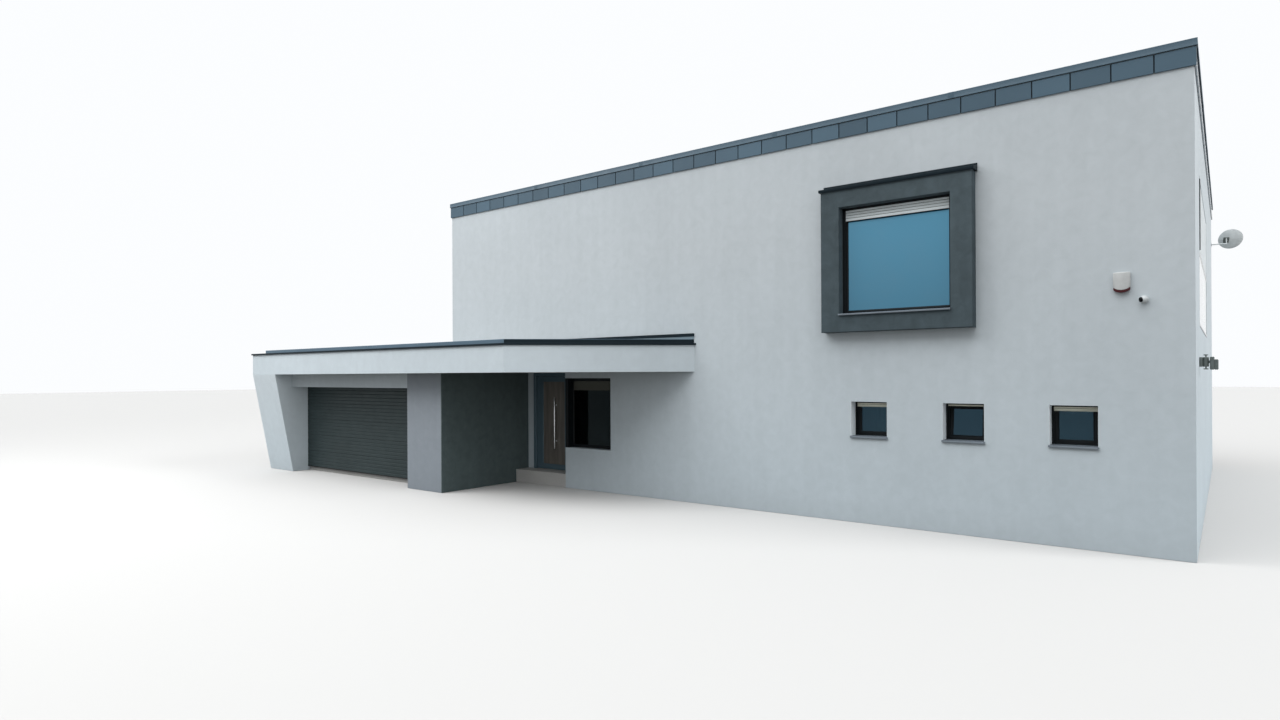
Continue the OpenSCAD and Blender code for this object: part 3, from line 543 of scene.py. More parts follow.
def make_parapet_cap():
    """A folded cap with a hemmed drip, in lengths with cover strips over the joints."""
    fold = [(-0.415, 0.002), (-0.415, 0.089), (0.034, 0.098), (0.037, 0.095), (0.037, 0.012), (0.04, 0.006),
            (0.038, 0.0), (0.031, 0.0), (0.033, 0.008), (0.0335, 0.092), (-0.411, 0.0855), (-0.411, 0.002)]
    cover = [(-0.415, 0.002), (-0.415, 0.091), (0.034, 0.1), (0.039, 0.096), (0.039, 0.012),
             (0.036, 0.012), (0.036, 0.095), (-0.413, 0.087), (-0.413, 0.002)]
    corners = [((X_L, Y_F), (-1, -1)), ((X_R, Y_F), (1, -1)), ((X_R, Y_B), (1, 1)), ((X_L, Y_B), (-1, 1))]
    cap = Shape()
    cap.tone_value = 0.88
    cap.follow(fold, corners, CAP_Z, closed=True)
    for side, (_, (ax, ay), half) in SIDES.items():
        lengths = round(2 * half / CAP_LENGTH)
        for i in range(1, lengths):
            middle = -half + i * 2 * half / lengths
            ends = [wall_place(side, u, 0, 0)[:2] for u in (middle - COVER_HALF, middle + COVER_HALF)]
            cap.follow(cover, [(p, (ay, -ax)) for p in ends], CAP_Z)
    cap.finish("parapet_cap_sheet", sheet, "sheet_metal", "parapet_cap")


make_band()
make_parapet_cap()


# Canopy edge

COPING_W = 0.23
COPING_LENGTH = 2.6
SEAM_HALF = 0.04
LOW_SIDE = 0.9
LOW_FRONT = 0.7
FLASHING_LENGTH = 1.95


def ribbon():
    """Corners of the canopy's outline, each with the vector that moves a point inwards by its distance."""
    bend = tan(radians(22.5))
    return [((X_L, GARAGE_BACK), (0, -1)), ((LEG_X, GARAGE_BACK), (1, -1)), ((LEG_X, CANOPY_Y), (1, 1)),
            ((CANOPY_BEND, CANOPY_Y), (-bend, 1)), ((CANOPY_R, Y_F), (-sqrt(2), 0))]


def make_coping():
    """A drip that runs all the way round, and the coping's upper part on it, which is low over the leg."""
    w = COPING_W
    drip = [(-0.026, 0.039), (0.0085, 0.04), (0.0085, 0.0015), (-0.024, 0.0005), (-0.028, 0.0005),
            (-0.03, 0.006), (-0.029, 0.036)]
    high = [(0.008, 0.002), (0.008, 0.11), (0.012, 0.1145), (w - 0.003, 0.106), (w, 0.102), (w, 0.002)]
    low = [(0.008, 0.002), (0.008, 0.036), (0.01, 0.0395), (w - 0.003, 0.0395), (w, 0.037), (w, 0.002)]
    seam = [(0.0065, 0.038), (0.0065, 0.1105), (0.011, 0.115), (w - 0.003, 0.107), (w, 0.104), (w, 0.038)]
    face = [(0.006, 0.039), (0.006, 0.109), (0.01, 0.1105), (0.01, 0.039)]
    corners = ribbon()
    coping = Shape()
    # The drip is in the near-black sheet: painted shade under the coping's lip.
    coping.follow(drip, corners, FASCIA_TOP)
    coping.finish("coping_drip_painted_shade", dark_sheet, "sheet_metal", "canopy_coping")
    first, back, _, bend, _ = [Vector(p) for p, _ in corners]
    side_end = Vector((LEG_X, CANOPY_Y + LOW_SIDE))
    front_start = Vector((LEG_X + LOW_FRONT, CANOPY_Y))
    cut = [(side_end, (1, 0)), corners[2], (front_start, (0, 1))]
    upper = Shape()
    upper.tone_value = 1.0
    for profile, places in ((high, corners[:2] + cut[:1]), (low, cut), (high, cut[2:] + corners[3:])):
        upper.follow(profile, places, FASCIA_TOP)
    # The diagonal length's upper part is a darker copy of the coping's sheet: painted shade.
    shaded_diagonal = Shape()
    shaded_diagonal.follow(face, corners[3:], FASCIA_TOP)
    for start, stop in ((first, back), (back, side_end), (front_start, bend)):
        length = (stop - start).length
        along = (stop - start) / length
        inward = Vector((-along.y, along.x))
        count = round(length / COPING_LENGTH)
        for i in range(1, count):
            ends = [start + along * (i * length / count + d) for d in (-SEAM_HALF, SEAM_HALF)]
            upper.follow(seam, [(p, inward) for p in ends], FASCIA_TOP)
    upper.finish("coping_sheet", coping_sheet, "sheet_metal")
    shaded_diagonal.finish("coping_diagonal_painted_shade", dark_sheet, "sheet_metal")


def make_flashing():
    """Sheets along the wall, which stop over the coping where it meets the wall, and a rail on top."""
    lo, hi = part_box("wall_flashing")
    x_cut = CANOPY_R - (COPING_W + 0.015) * sqrt(2)
    z_cut = FASCIA_TOP + 0.117
    y = hi.y - 0.012
    joint = 0.004
    top = hi.z - 0.03
    sheets = Shape()
    count = ceil((hi.x - lo.x) / FLASHING_LENGTH)
    joints = [lo.x + FLASHING_LENGTH * i for i in range(count)] + [hi.x]
    for a, b in zip(joints, joints[1:]):
        sheets.box((a, y, lo.z if b < x_cut else z_cut), (b - joint, hi.y, top))
        if a < x_cut <= b:
            sheets.box((a, y, lo.z), (x_cut, hi.y, z_cut + joint))
    sheets.finish("flashing_sheet", light_sheet, "sheet_metal", "wall_flashing")
    rail = Shape()
    profile = [(0.0, -0.058), (-0.02, -0.058), (-0.026, -0.052), (-0.026, -0.008), (-0.03, -0.004),
               (-0.029, 0.0), (-0.024, -0.002), (0.0, 0.0)]
    rail.along_x(profile, lo.x, hi.x, hi.y, hi.z)
    rail.finish("flashing_rail", dark_sheet, "sheet_metal")


make_coping()
make_flashing()


# Parts that windows share: a rectangle is (x0, z0, x1, z1)

FRAME_DEPTH = 0.075


def grown(rect, d):
    """A rectangle that is larger by d on every side, or smaller where d is below 0."""
    x0, z0, x1, z1 = rect
    return (x0 - d, z0 - d, x1 + d, z1 + d)


def ring_xz(shape, outer, inner, profile):
    """A frame in a wall that faces -Y. Its profile's points are (0 at the outer edge to 1 inside, y)."""
    stations = []
    for i, k in ((0, 1), (2, 1), (2, 3), (0, 3)):
        inward = (inner[i] - outer[i], 0, inner[k] - outer[k])
        stations.append(((outer[i], 0, outer[k]), inward, (0, 1, 0)))
    shape.sweep(profile, stations, closed=True)


def fixed_frame(shape, outer, inner, y, flat=0.92):
    """The fixed frame, whose face is flat up to a share of its width and then rounds off."""
    deep = y + FRAME_DEPTH
    ring_xz(shape, outer, inner, [(0, y), (flat, y), (1, y + 0.003), (1, deep), (0, deep)])


def sash_ring(shape, seals, outer, pane, y, depth):
    """A sash with a sloping glazing bead round its pane, and the seal on the glass."""
    member = pane[0] - outer[0]
    bead = 0.012 / member
    edge = 0.003 / member
    profile = [(0, y + 0.002), (0.002 / member, y), (1 - bead - edge, y), (1, y + 0.014), (1, y + depth),
               (0, y + depth)]
    ring_xz(shape, outer, pane, profile)
    ring_xz(seals, grown(pane, 0.004), grown(pane, -0.006),
            [(0, y + 0.016), (0.6, y + 0.0145), (1, y + 0.018), (1, y + 0.023), (0, y + 0.023)])


def curtain(slats, backs, x0, x1, y, top, drop, count, notch):
    """Roller shutter slats that bulge outwards, with dark notches between them."""
    bulge, steps = 0.003, 8
    pitch = drop / count
    for i in range(count):
        z1 = top - i * pitch
        z0 = z1 - pitch + (notch if i < count - 1 else 0.0)
        profile = []
        for k in range(steps + 1):
            t = k / steps
            profile.append((-bulge * (1 - (2 * t - 1) ** 4), (z0 - z1) * t))
        slats.along_x(profile + [(0.005, z0 - z1), (0.005, 0.0)], x0, x1, y, z1)
    backs.box((x0, y + 0.003, top - drop + 0.004), (x1, y + 0.009, top), 0.001)


def folded_sill(shape, x0, x1, back, face, z, reach, ear):
    """A sill with a folded nose that reaches out of the wall's face, between two upturned ends."""
    nose = face - reach
    deep = back - nose
    profile = [(deep, 0.021), (0.004, 0.013), (0.0, 0.009), (0.0, -0.009), (0.004, -0.011), (0.005, 0.003),
               (deep, 0.01)]
    shape.along_x(profile, x0 + 0.001, x1 - 0.001, nose, z)
    for a, b in ((x0 - ear, x0 + 0.002), (x1 - 0.002, x1 + ear)):
        shape.box((a, nose, z - 0.01), (b, face, z + 0.022))


# Framed window

MAIN_Y = Y_F - 0.01
SILL_UPSTAND = 0.022
GUIDE_W = 0.055


def make_surround():
    surround = Shape()
    outer = (BOX_X0, BOX_Z0, BOX_X1, BOX_Z1)
    c = 0.007
    share = c / (BOX_Z1 - OPEN_Z1)
    profile = [(0, Y_F), (0, BOX_FACE + c), (share, BOX_FACE), (1 - share, BOX_FACE), (1, BOX_FACE + c),
               (1, Y_F)]
    ring_xz(surround, outer, OPENING, profile)
    surround.finish("surround_render", dark_render, "dark_render", "window_surround")
    cap = Shape()
    end = 0.003
    x0, x1 = BOX_X0 - 0.03, BOX_X1 + 0.03
    fold = [(0, 0), (0, 0.124), (-0.006, 0.1245), (-0.008, 0.094), (-0.227, 0.037), (-0.23, 0.033),
            (-0.23, -0.004), (-0.227, -0.01), (-0.222, -0.008), (-0.224, 0)]
    side = [(0, -0.008), (0, 0.123), (-0.006, 0.123), (-0.009, 0.093), (-0.227, 0.036), (-0.228, -0.008)]
    for points, a, b in ((fold, x0 + end, x1 - end), (side, x0, x0 + end), (side, x1 - end, x1)):
        cap.along_x(points, a, b, Y_F, BOX_Z1)
    cap.finish("surround_cap_sheet", dark_sheet, "sheet_metal", "window_surround_cap")


def make_main_window():
    frames, seals = Shape(), Shape()
    y = MAIN_Y
    guide_z = OPEN_Z0 + SILL_UPSTAND
    pane = (OPEN_X0 + 0.075, OPEN_Z0 + 0.075, OPEN_X1 - 0.052, OPEN_Z1 - 0.075)
    mid = (OPEN_X0 + 0.038, OPEN_Z0 + 0.038, OPEN_X1 - 0.018, OPEN_Z1 - 0.038)
    fixed_frame(frames, OPENING, mid, y)
    sash_ring(frames, seals, grown(mid, 0.004), pane, y + 0.006, 0.062)
    for edge, way in ((OPEN_X0, 1), (OPEN_X1, -1)):
        for near, far in ((0.03, 0.02), (0.006, 0.0)):
            frames.box((edge, y - near, guide_z), (edge + way * GUIDE_W, y - far, OPEN_Z1))
        frames.box((edge, y - 0.021, guide_z), (edge + way * 0.03, y - 0.005, OPEN_Z1), 0.001)
    # A dark strip across the head, in front of the slats: partly the shutter box's bottom bar, partly painted
    # shadow under the box.
    frames.box((OPEN_X0, y - 0.03, OPEN_Z1 - 0.038), (OPEN_X1, y - 0.022, OPEN_Z1))
    frames.finish("main_window_profiles", frame_paint, "window_frames", "main_window_frame")
    slats = Shape()
    x0, x1 = OPEN_X0 + GUIDE_W, OPEN_X1 - GUIDE_W
    curtain(slats, seals, x0, x1, y - 0.013, OPEN_Z1 - 0.03, 0.185, 4, 0.007)
    seals.box((x0, y - 0.019, OPEN_Z1 - 0.225), (x1, y - 0.007, OPEN_Z1 - 0.214), 0.003)
    slats.finish("main_shutter_slats", grey_slats, "grey_slats", "main_window_shutter")
    glass = Shape()
    gx0, gz0, gx1, gz1 = grown(pane, 0.004)
    glass.box((gx0, y + 0.026, gz0), (gx1, y + 0.05, gz1), 0.001)
    glass.finish("main_window_pane", main_glass, "window_glass", "main_window_glass")
    seals.finish("main_window_seal", rubber, "window_frames")
    sill = Shape()
    sill.box((OPEN_X0, BOX_FACE - 0.002, OPEN_Z0 + 0.001), (OPEN_X1, y, OPEN_Z0 + 0.014), 0.001)
    nose = BOX_FACE - 0.035
    profile = [(0.035, 0.02), (0.004, 0.014), (0.0, 0.01), (0.0, -0.009), (0.004, -0.011), (0.005, 0.004),
               (0.035, 0.008)]
    x0, x1 = OPEN_X0 - 0.01, OPEN_X1 + 0.01
    sill.along_x(profile, x0, x1, nose, OPEN_Z0)
    for a in (x0, x1 - 0.004):
        sill.box((a, nose, OPEN_Z0 - 0.01), (a + 0.004, BOX_FACE, guide_z), 0.001)
    sill.finish("main_sill", sill_metal, "sill_metal", "main_window_sill")


make_surround()
make_main_window()


# Small windows: the middle one is tilted open and its shutter hangs less low

SMALL_PITCH = 1.5
SMALL_W = SMALL_X1 - SMALL_X0 - 2 * SMALL_PITCH
SMALL_RECESS = 0.23
SMALL_TILT = radians(-7)


def make_small_windows():
    frames, seals, slats, sills, painted_light_linings = [Shape() for _ in range(5)]
    half, head = 0.043, 0.026
    y = Y_F + SMALL_RECESS
    z, top = SMALL_Z0, SMALL_Z1
    for i in range(3):
        x1 = SMALL_X1 - i * SMALL_PITCH
        x0 = x1 - SMALL_W
        tilted = i == 1
        outer = (x0, z, x1, top)
        mid = grown(outer, -half)
        fixed_frame(frames, outer, mid, y)
        sash, seal = Shape(), Shape()
        sash_ring(sash, seal, grown(mid, -0.001), grown(outer, -2 * half), y + 0.01, 0.065)
        if tilted:
            hinge = Matrix.Translation((0, y + 0.01, mid[1]))
            tilt = hinge @ Matrix.Rotation(SMALL_TILT, 4, "X") @ hinge.inverted()
            sash.moved(tilt)
            seal.moved(tilt)
        frames.join(sash)
        seals.join(seal)
        drop = 0.048 if tilted else 0.09
        a, b = x0 + head, x1 - head
        slats.box((a, y - 0.0095, top - drop), (b, y - 0.001, top - drop + 0.013), 0.003)
        curtain(slats, seals, a, b, y - 0.005, top - 0.024, drop - 0.036, 1 if tilted else 2, 0.004)
        for a in (x0, x1 - 0.025):
            frames.box((a, y - 0.04, z + SILL_UPSTAND), (a + 0.025, y, top))
        # A dark strip across each head, in front of the slats: painted shadow under the shutter box.
        frames.box((x0 + 0.024, y - 0.04, top - 0.025), (x1 - 0.024, y, top))
        # Thin linings on the reveals in the lighter render copy: painted light.
        for a in (x0, x1 - 0.002):
            painted_light_linings.box((a, Y_F, z + SILL_UPSTAND), (a + 0.002, y - 0.041, top), 0.0)
        folded_sill(sills, x0, x1, y, Y_F, z, 0.035, 0.01)
    frames.finish("small_window_profiles", frame_paint, "window_frames", "small_window_frames")
    seals.finish("small_window_seals", rubber, "window_frames")
    slats.finish("small_shutter_slats", beige_slats, "beige_slats", "small_window_shutters")
    sills.finish("small_sills", sill_metal, "sill_metal", "small_window_sills")
    painted_light_linings.finish("small_reveals_painted_light", reveal_render_painted_light, "white_render")


make_small_windows()


# Plain windows: outer frame, sashes side by side and their seals

def window_unit(width, height, count):
    """Frame and seals of a window whose outer face is y = 0 and lower left corner the origin."""
    frames, seals = Shape(), Shape()
    member, lip = 0.065, 0.028
    grow = member / 2 - 0.002
    outer = (0, 0, width, height)
    fixed_frame(frames, outer, grown(outer, -lip), 0.0, 0.9)
    clear = (width - (count + 1) * member) / count
    starts = [member + i * (clear + member) for i in range(count)]
    for i, x0 in enumerate(starts):
        pane = (x0, member, x0 + clear, height - member)
        sash_ring(frames, seals, grown(pane, grow), pane, 0.005, FRAME_DEPTH - 0.01)
        if i:
            mid = x0 - member / 2
            frames.box((mid - 0.012, 0.02, lip), (mid + 0.012, FRAME_DEPTH, height - lip))
    for x0 in starts:
        for z0, z1 in ((lip - 0.002, member - grow + 0.002),
                       (height - member + grow - 0.002, height - lip + 0.002)):
            frames.box((x0 - grow, 0.02, z0), (x0 + clear + grow, FRAME_DEPTH - 0.005, z1), 0.0)
    return frames, seals


def make_window_group(name, node, units):
    """Windows of one CAD node: each is (matrix, width, height, sashes)."""
    frames, seals = Shape(), Shape()
    for matrix, width, height, count in units:
        f, s = window_unit(width, height, count)
        frames.join(f.moved(matrix))
        seals.join(s.moved(matrix))
    frames.finish(name + "_profiles", frame_paint, "window_frames", node)
    seals.finish(name + "_seals", rubber, "window_frames")


def facing(side, u, out, z):
    """Puts a window made for the front on a side of the block."""
    _, (ax, ay), _ = SIDES[side]
    return Matrix.Translation(wall_place(side, u, out, z)) @ Matrix.Rotation(atan2(ay, ax), 4, "Z")


SIDE_W = SIDE_Y1 - SIDE_Y0
SIDE_H = SIDE_Z1 - UPPER
SIDE_PANES = 3
side_place = facing("right", SIDE_Y0, -0.11, UPPER)
make_window_group("side_window", "side_window_frame", [(side_place, SIDE_W, SIDE_H, SIDE_PANES)])


def make_side_shutter():
    """The tall window's shutter, lowered to the rail between its guides; a dark cover hides the front one."""
    frames, slats = Shape(), Shape()
    x = X_R - 0.01
    guide = 0.04
    z0 = UPPER + 1.17
    a, b = SIDE_Y0 + guide, SIDE_Y1 - guide
    count = 25
    pitch = (SIDE_Z1 - z0) / count
    slat = [(-0.005, 0.0), (0.001, 0.0), (0.005, 0.01), (0.006, pitch / 2), (0.005, pitch - 0.014),
            (0.001, pitch - 0.004), (-0.005, pitch - 0.004)]
    for i in range(count):
        slats.follow(slat, [((x, y), (1, 0)) for y in (a, b)], z0 + i * pitch)
    frames.box((x - 0.006, a, z0 + 0.004), (x - 0.002, b, SIDE_Z1), 0.0)
    frames.box((x - 0.008, a, z0 - 0.008), (x + 0.008, b, z0 + 0.006), 0.003)
    for y in (SIDE_Y0, b):
        slats.box((x - 0.03, y, UPPER + 0.002), (x + 0.008, y + guide, SIDE_Z1))
    frames.box((x + 0.006, SIDE_Y0, z0 - 0.008), (X_R + 0.013, a, SIDE_Z1 - 0.06), 0.003)
    slats.finish("side_shutter_slats", white_slats, "beige_slats")
    frames.finish("side_shutter_guides", frame_paint, "window_frames")


make_side_shutter()


# Back and left windows: (side, how many, their width, their sashes); doors stand under those at the back

REAR_WINDOWS = (("back", 3, 2.4, 2), ("left", 2, 1.2, 1))
DOORS_H = 2.2
REAR_SILL = UPPER + 0.9
REAR_H = 1.4

rear_units = []
sill_places = []
for side, count, width, sashes in REAR_WINDOWS:
    half = SIDES[side][2]
    for i in range(count):
        u = half - (2 * i + 1) * half / count - width / 2
        if side == "back":
            rear_units.append((facing(side, u, -RECESS, GROUND), width, DOORS_H, sashes))
        rear_units.append((facing(side, u, -RECESS, REAR_SILL), width, REAR_H, sashes))
        sill_places.append((facing(side, u, 0, REAR_SILL), width))
make_window_group("rear_window", "rear_window_frames", rear_units)


def make_rear_sills():
    sills = Shape()
    for matrix, width in sill_places:
        one = Shape()
        folded_sill(one, 0.0, width, RECESS, 0.0, 0.0, 0.033, 0.015)
        sills.join(one.moved(matrix))
    sills.finish("rear_sills", sill_metal, "sill_metal")


def make_balustrade():
    """Three panes in a foot channel under a flat steel rail."""
    z0, z1 = UPPER, UPPER + 1.16
    x = X_R - 0.015
    panes, metal = Shape(), Shape()
    pane_w = SIDE_W / SIDE_PANES
    for i in range(SIDE_PANES):
        a = SIDE_Y0 + i * pane_w + 0.006
        panes.box((x - 0.009, a, z0 + 0.02), (x + 0.009, a + pane_w - 0.012, z1 - 0.026), 0.001)
    rail = (-0.015, z1 - 0.03, 0.015, z1, 0.003)
    channel = [(-0.015, z0, -0.01, z0 + 0.06, 0.001), (0.01, z0, 0.015, z0 + 0.06, 0.001),
               (-0.015, z0, 0.015, z0 + 0.018, 0.001)]
    for a, za, b, zb, c in [rail] + channel:
        metal.box((x + a, SIDE_Y0, za), (x + b, SIDE_Y1, zb), c)
    panes.finish("balustrade_panes", rail_glass, "balustrade_glass", "side_balustrade")
    metal.finish("balustrade_rail", steel, "balustrade_glass")


make_rear_sills()
make_balustrade()


# Entrance

DOOR_MEMBER = 0.08
LEAF_GAP = 0.006
LEAF_X0, LEAF_X1 = DOOR_X0 + DOOR_MEMBER + LEAF_GAP, DOOR_X1 - DOOR_MEMBER - LEAF_GAP
LEAF_Z0, LEAF_Z1 = GROUND + 0.008, SOFFIT - DOOR_MEMBER - LEAF_GAP
LEAF_Y0, LEAF_Y1 = ENTRANCE_Y + 0.032, ENTRANCE_Y + 0.1
LEAF_Z = (LEAF_Z0 + LEAF_Z1) / 2
HINGE_X, HINGE_Y = LEAF_X0 - 0.003, LEAF_Y1 + 0.012
HINGE_Z = [LEAF_Z0 + 0.25, LEAF_Z, LEAF_Z1 - 0.25]


def make_entrance_window():
    lo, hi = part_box("entrance_window_frame")
    y = Y_F + RECESS
    frames, seals = Shape(), Shape()
    pane = (lo.x + 0.08, lo.z + 0.065, hi.x - 0.065, hi.z - 0.065)
    outer = (lo.x + 0.012, lo.z, hi.x, hi.z)
    mid = grown(outer, -0.034)
    fixed_frame(frames, outer, mid, y)
    sash_ring(frames, seals, grown(mid, 0.003), pane, y + 0.006, 0.062)
    frames.box((lo.x, lo.y, lo.z), (lo.x + 0.08, lo.y + 0.178, hi.z), 0.004)
    frames.box((lo.x, lo.y + 0.257, lo.z), (lo.x + 0.08, hi.y, hi.z), 0.004)
    frames.box((lo.x, lo.y + 0.1, lo.z), (lo.x + 0.05, lo.y + 0.3, hi.z))
    frames.finish("entrance_window_profiles", frame_paint, "window_frames", "entrance_window_frame")
    seals.finish("entrance_window_seal", rubber, "window_frames")
    blind = Shape()
    x0, _, x1, top = pane
    blind.box((x0, y + 0.01, top - 0.19), (x1, y + 0.014, top), 0.001)
    blind.box((x0, y + 0.008, top - 0.205), (x1, y + 0.018, top - 0.188), 0.003)
    blind.finish("entrance_blind", blind_cloth, "window_frames")


def hinge_knuckle(shape, z, side):
    """Half of a hinge: the frame's half is the lower one."""
    length, r = 0.06, 0.012
    z0 = z if side < 0 else z + length + 0.0003
    barrel = [(0, r - 0.001), (0.001, r), (length - 0.001, r), (length, r - 0.001)]
    shape.lathe((HINGE_X, HINGE_Y, z0), UP, barrel)
    x0 = HINGE_X - 0.04 if side < 0 else HINGE_X
    shape.box((x0, HINGE_Y - r, z0), (x0 + 0.04, HINGE_Y - 0.008, z0 + length), 0.001)


def make_door_jambs():
    jambs = Shape()
    x0, x1, z0, z1 = DOOR_X0, DOOR_X1, GROUND, SOFFIT
    y = ENTRANCE_Y
    m = DOOR_MEMBER
    profile = [(0, y), (m - 0.012, y), (m - 0.008, y + 0.004), (m, y + 0.006), (m, LEAF_Y1), (0, LEAF_Y1)]
    stations = [((x0, 0, z0), (1, 0, 0), (0, 1, 0)), ((x0, 0, z1), (1, 0, -1), (0, 1, 0)),
                ((x1, 0, z1), (-1, 0, -1), (0, 1, 0)), ((x1, 0, z0), (-1, 0, 0), (0, 1, 0))]
    jambs.sweep(profile, stations)
    for z in HINGE_Z:
        hinge_knuckle(jambs, z, -1)
    jambs.finish("door_jambs", door_paint, "door_paint", "entrance_door_frame")


def make_door_leaf():
    """The leaf's border round a sunk panel; the border is widest at the hinges."""
    leaf = Shape()
    outer = (LEAF_X0, LEAF_Z0, LEAF_X1, LEAF_Z1)
    inner = (LEAF_X0 + 0.209, LEAF_Z0 + 0.12, LEAF_X1 - 0.124, LEAF_Z1 - 0.12)
    border = inner[0] - LEAF_X0
    y = LEAF_Y0
    ring_xz(leaf, outer, inner, [(0, y + 0.003), (0.003 / border, y), (1 - 0.004 / border, y), (1, y + 0.004),
                                 (1, LEAF_Y1), (0, LEAF_Y1)])
    x0, z0, x1, z1 = grown(inner, 0.01)
    leaf.box((x0, y + 0.012, z0), (x1, LEAF_Y1, z1), 0.0)
    for z in HINGE_Z:
        hinge_knuckle(leaf, z, 1)
    leaf.finish("door_leaf", door_paint, "door_paint", "entrance_door_leaf", body="entrance_door")
    panel = Shape()
    x0, z0, x1, z1 = grown(inner, -0.004)
    panel.box((x0, y + 0.006, z0), (x1, y + 0.014, z1))
    panel.finish("door_panel", door_panel_paint, "door_paint", body="entrance_door")


def make_door_pull():
    """A round bar on two posts with roses."""
    pull = Shape()
    x = LEAF_X1 - 0.4
    y = LEAF_Y0 - 0.055
    length, r = 1.2, 0.017
    tip = [(0, 0.0), (0, 0.012), (0.002, 0.0155), (0.005, r)]
    bar = tip + [(length - d, radius) for d, radius in reversed(tip)]
    pull.lathe((x, y, LEAF_Z - length / 2), UP, bar, 32)
    for z in (LEAF_Z - 0.42, LEAF_Z + 0.42):
        pull.rod((x, y, z), (x, LEAF_Y0 + 0.006, z), 0.01, 24)
        rose = [(0, 0.022), (0.003, 0.022), (0.006, 0.018), (0.006, 0.0)]
        pull.lathe((x, LEAF_Y0 + 0.0055, z), (0, -1, 0), rose, 32)
    pull.finish("door_pull", steel, "steel", "entrance_door_pull", body="entrance_door")


make_entrance_window()
make_door_jambs()
make_door_leaf()
make_door_pull()


# Garage door: ribbed sections between side guides

def make_garage_door():
    lo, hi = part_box("garage_door")
    sections, ribs, gap = 5, 5, 0.002
    height = (hi.z - lo.z) / sections
    door = Shape()
    face, deep = lo.y, hi.y - lo.y
    for i in range(sections):
        z0 = lo.z + i * height + (gap if i else 0.0)
        z1 = lo.z + (i + 1) * height - (gap if i < sections - 1 else 0.0)
        pitch = (z1 - z0) / ribs
        profile = [(deep, 0.0), (0.008, 0.0)]
        for r in range(ribs):
            a = r * pitch
            b = a + pitch
            profile += [(0.003, a + 0.007), (0.0, a + 0.014), (0.0, b - 0.014), (0.003, b - 0.007)]
            profile.append((0.009, b))
        profile[-1] = (0.008, b)
        door.along_x(profile + [(deep, b)], lo.x + 0.004, hi.x - 0.004, face, z0)
    door.finish("garage_door_sections", garage_metal, "garage_door_metal", "garage_door", smooth=20)
    seal = Shape()
    seal.box((lo.x, face - 0.004, lo.z), (hi.x, face + 0.02, lo.z + 0.02), 0.004)
    for x in (lo.x, hi.x - 0.01):
        seal.box((x, face + 0.006, lo.z), (x + 0.01, hi.y, hi.z))
    seal.box((lo.x, face + 0.012, lo.z), (hi.x, hi.y - 0.005, hi.z - 0.001), 0.0)
    seal.finish("garage_door_seal", rubber, "garage_door_metal")


make_garage_door()


# Fittings on the walls

def make_siren():
    """A bowed housing whose foot is round, with a red lens along the foot."""
    (x0, _, z), (x1, _, _) = corners_of("alarm_siren")
    x, half = (x0 + x1) / 2, (x1 - x0) / 2
    foot, side, deep = 0.044, 0.04, 0.075
    radius = (half * half + foot * foot) / (2 * foot)

    def plan(inset, rise, arc):
        """The housing's plan, drawn in by an inset; its height follows the foot's arc by a share."""
        w = half - inset
        bow = deep - inset - side
        pts = [(-w, 0.0)]
        for k in range(25):
            t = -1 + k / 12
            pts.append((t * w, side + bow * (1 - t * t)))
        pts.append((w, 0.0))
        arch = [arc * (radius - sqrt(radius * radius - px * px)) for px, _ in pts]
        return [(x + px, Y_F - py, z + rise + up) for (px, py), up in zip(pts, arch)]

    body = Shape()
    levels = [(0.003, 0.038, 1.0), (0.0, 0.041, 1.0), (0.0, 0.15, 0.5), (0.0, 0.268, 0.0),
              (0.002, 0.275, 0.0), (0.006, 0.281, 0.0), (0.012, 0.285, 0.0)]
    body.loft([plan(*level) for level in levels])
    body.finish("siren_body", siren_plastic, "white_plastic", "alarm_siren")
    lens = Shape()
    rim = ((0.012, 0.0), (0.006, 0.004), (0.004, 0.012), (0.005, 0.038))
    lens.loft([plan(inset, rise, 1.0) for inset, rise in rim])
    lens.finish("siren_lens", red_lens, "white_plastic")


def make_wall_camera():
    """A ball on a round base, with its eye turned to the front left."""
    x, z = X_R - 0.565, UPPER + 0.302
    centre = Vector((x, Y_F - 0.05, z))
    r, steps = 0.046, 16
    ball = Shape()
    base = [(0, 0.054), (0.022, 0.054), (0.027, 0.052), (0.03, 0.047), (0.03, 0.0)]
    ball.lathe((x, Y_F, z), (0, -1, 0), base, 40)
    angles = [pi * k / steps for k in range(steps + 1)]
    ball.lathe(centre, (0, -1, 0), [(-r * cos(a), r * sin(a)) for a in angles], 40)
    ball.finish("camera_ball", plastic, "white_plastic", "wall_camera")
    lens = Shape()
    eye = [(0.02, 0.034), (0.044, 0.034), (0.051, 0.029), (0.051, 0.018), (0.047, 0.015), (0.049, 0.0)]
    lens.lathe(centre, (-0.82, -0.53, -0.12), eye, 32)
    lens.finish("camera_eye", lens_glass, "white_plastic")


